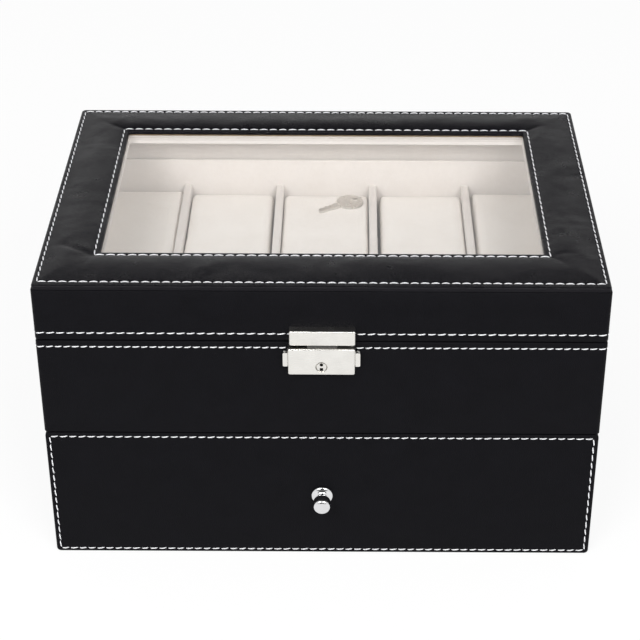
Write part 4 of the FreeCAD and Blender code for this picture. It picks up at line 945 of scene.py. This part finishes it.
def knob():
    """The drawer's knob, turned from the profile of the solid and finished finer."""
    shape = spun([(1.95, 0), (5.4, 0), (5.65, 0.25), (5.7, 0.6), (5.7, 1.1), (5.55, 1.5), (5.1, 1.85), (4.4, 2.15),
                  (3.5, 2.5), (2.9, 2.95), (2.7, 3.5), (2.7, 4.6), (3.0, 5.0), (3.8, 5.4), (4.3, 5.8), (4.5, 6.3),
                  (4.55, 6.9), (4.55, 9.8), (4.45, 10.5), (4.15, 11.1), (3.6, 11.55), (2.7, 11.9), (1.5, 12.1),
                  (0, 12.15)], 56)
    rim = [edge for edge in shape.edges if edge.is_boundary]
    bmesh.ops.holes_fill(shape, edges=rim, sides=0)
    bmesh.ops.translate(shape, verts=shape.verts, vec=(0, 0, KNOB_HIGH * MM))
    piece = finish_piece("drawer_pull_knob", shape, "chrome", "drawer", smooth=50, turned=True)
    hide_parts("drawer_knob")


def carried_finishes():
    """Better materials for the CAD nodes that stay in view."""
    looks = {
        "felt": ("base_felt",),
        "board": ("case_base", "tray_deck", "case_left_wall", "case_right_wall", "case_back_wall",
                  "case_front_fascia", "lid_front_rail", "lid_back_rail", "lid_left_rail", "lid_right_rail",
                  "lid_window_frame", "lid_cover_card", "drawer_front_board", "drawer_left_side",
                  "drawer_right_side", "drawer_back_board", "drawer_bottom"),
        "lining": ("tray_wall_lining", "tray_floor_lining", "drawer_lining", "lid_lining", "tray_long_divider",
                   "tray_short_dividers", "drawer_long_divider", "drawer_short_dividers"),
        "case leather": ("case_leather", "lid_side_leather", "lid_top_leather", "drawer_front_leather"),
        "foam": ("lid_padding",),
        "glass": ("lid_glass",),
        "nickel": ("lock_case", "striker_plate", "lock_slider", "hinge_case_leaves", "hinge_lid_leaves",
                   "hinge_pins"),
        "lock steel": ("lock_back_plate", "lock_springs", "lock_cam"),
        "plug": ("lock_plug",),
        "screw": ("hinge_case_screws", "hinge_lid_screws", "lock_screws", "striker_screws",
                  "drawer_knob_screw"),
        "chrome": ("drawer_knob",),
        "key": ("key",),
        "pillow": ("drawer_pillows",) + tuple("tray_pillow_%d" % count for count in range(1, 11)),
    }
    for finish, names in looks.items():
        for name in names:
            mesh = nodes[name].data
            mesh.materials.clear()
            mesh.materials.append(FINISH[finish])


# Floor, light and camera

def paper_sweep():
    """A pale floor and a white surround, seen by the camera and by polished faces alike."""
    shape = bmesh.new()
    bmesh.ops.create_grid(shape, x_segments=1, y_segments=1, size=6)
    mesh = bpy.data.meshes.new("floor")
    shape.to_mesh(mesh)
    shape.free()
    floor = bpy.data.objects.new("floor", mesh)
    bpy.context.scene.collection.objects.link(floor)
    material, tree, shader = new_material("pale floor")
    shader.inputs["Base Color"].default_value = (0.96, 0.96, 0.96, 1)
    shader.inputs["Roughness"].default_value = 0.9
    shader.inputs["Specular IOR Level"].default_value = 0.1
    glow = add_node(tree, "ShaderNodeEmission")
    rays = add_node(tree, "ShaderNodeLightPath")
    seen = number(tree, "MAXIMUM", rays.outputs["Is Camera Ray"], rays.outputs["Is Glossy Ray"])
    seen = number(tree, "MAXIMUM", seen, rays.outputs["Is Transmission Ray"])
    mix = add_node(tree, "ShaderNodeMixShader")
    feed(tree, number(tree, "MULTIPLY", seen, 0.88), mix.inputs["Fac"])
    feed(tree, shader.outputs[0], mix.inputs[1])
    feed(tree, glow.outputs[0], mix.inputs[2])
    feed(tree, mix.outputs[0], tree.nodes["Material Output"].inputs["Surface"])
    mesh.materials.append(material)
    world = bpy.data.worlds.new("studio")
    bpy.context.scene.world = world
    world.use_nodes = True
    tree = world.node_tree
    soft = tree.nodes["Background"]
    soft.inputs["Color"].default_value = (1, 1, 1, 1)
    soft.inputs["Strength"].default_value = 0.48
    white = add_node(tree, "ShaderNodeBackground")
    white.inputs["Color"].default_value = (1, 1, 1, 1)
    white.inputs["Strength"].default_value = 1.0
    hall = add_node(tree, "ShaderNodeBackground")
    way = add_node(tree, "ShaderNodeTexCoord")
    split = add_node(tree, "ShaderNodeSeparateXYZ")
    feed(tree, way.outputs["Generated"], split.inputs[0])
    behind = tint(tree, span(tree, split.outputs["Z"], 0.42, 0.56, 0.0, 1.0), (1.0, 1.0, 1.0), (0.05, 0.05, 0.05))
    aside = span(tree, number(tree, "ABSOLUTE", split.outputs["X"]), 0.35, 0.6, 0.0, 1.0)
    low = span(tree, split.outputs["Z"], 0.02, 0.14, 1.0, 0.0)
    ahead = tint(tree, number(tree, "MAXIMUM", aside, low), (0.12, 0.12, 0.12), (0.95, 0.95, 0.95))
    turned = add_node(tree, "ShaderNodeMix", data_type="RGBA")
    feed(tree, span(tree, split.outputs["Y"], -0.2, 0.3, 0.0, 1.0), turned.inputs["Factor"])
    feed(tree, ahead, turned.inputs[6])
    feed(tree, behind, turned.inputs[7])
    feed(tree, turned.outputs[2], hall.inputs["Color"])
    rays = add_node(tree, "ShaderNodeLightPath")
    seen = number(tree, "MAXIMUM", rays.outputs["Is Camera Ray"], rays.outputs["Is Transmission Ray"])
    surround = add_node(tree, "ShaderNodeMixShader")
    feed(tree, rays.outputs["Is Glossy Ray"], surround.inputs["Fac"])
    feed(tree, soft.outputs[0], surround.inputs[1])
    feed(tree, hall.outputs[0], surround.inputs[2])
    mix = add_node(tree, "ShaderNodeMixShader")
    feed(tree, seen, mix.inputs["Fac"])
    feed(tree, surround.outputs[0], mix.inputs[1])
    feed(tree, white.outputs[0], mix.inputs[2])
    feed(tree, mix.outputs[0], tree.nodes["World Output"].inputs["Surface"])


def soft_lamp(name, place, target, size, power):
    data = bpy.data.lights.new(name, "AREA")
    data.shape = "RECTANGLE"
    data.size, data.size_y = size
    data.energy = power
    lamp = bpy.data.objects.new(name, data)
    bpy.context.scene.collection.objects.link(lamp)
    lamp.location = place
    lamp.rotation_euler = (Vector(target) - Vector(place)).to_track_quat("-Z", "Y").to_euler()


def camera():
    """The photograph's camera, fitted to the box's edges."""
    focal, centre = 1790.5, (344.0, 320.0)
    yaw, pitch, roll = (math.radians(angle) for angle in (0.143, 32.091, -0.207))
    across = Vector((math.cos(yaw), math.sin(yaw), 0))
    level = Vector((-math.sin(yaw), math.cos(yaw), 0))
    up = Vector((0, 0, 1))
    forward = math.cos(pitch) * level - math.sin(pitch) * up
    down = -(math.cos(pitch) * up + math.sin(pitch) * level)
    right = math.cos(roll) * across + math.sin(roll) * down
    below = -math.sin(roll) * across + math.cos(roll) * down
    data = bpy.data.cameras.new("camera")
    data.sensor_width = 36
    data.lens = focal / 640 * 36
    data.shift_x = -(centre[0] - 320) / 640
    data.shift_y = (centre[1] - 320) / 640
    data.clip_start, data.clip_end = 0.05, 40
    eye = bpy.data.objects.new("camera", data)
    bpy.context.scene.collection.objects.link(eye)
    turn = Matrix((right, -below, -forward)).transposed().to_4x4()
    eye.matrix_world = Matrix.Translation(Vector((13.0, -847.4, 616.1)) * MM) @ turn
    bpy.context.scene.camera = eye


case_leather()
lid_leather()
padded_cover()
drawer_leather()
threads()
linings()
lock()
knob()
carried_finishes()
pillows()

paper_sweep()
soft_lamp("left lamp", (-0.66, -1.35, 1.25), (0, 0, 0.1), (0.8, 0.8), 20.5)
soft_lamp("right lamp", (0.66, -1.35, 1.25), (0, 0, 0.1), (0.8, 0.8), 18.5)
soft_lamp("back lamp", (-0.5, 1.4, 0.55), (0, 0, 0.15), (1.4, 0.35), 1.0)
camera()
bpy.context.scene.view_settings.view_transform = "Standard"
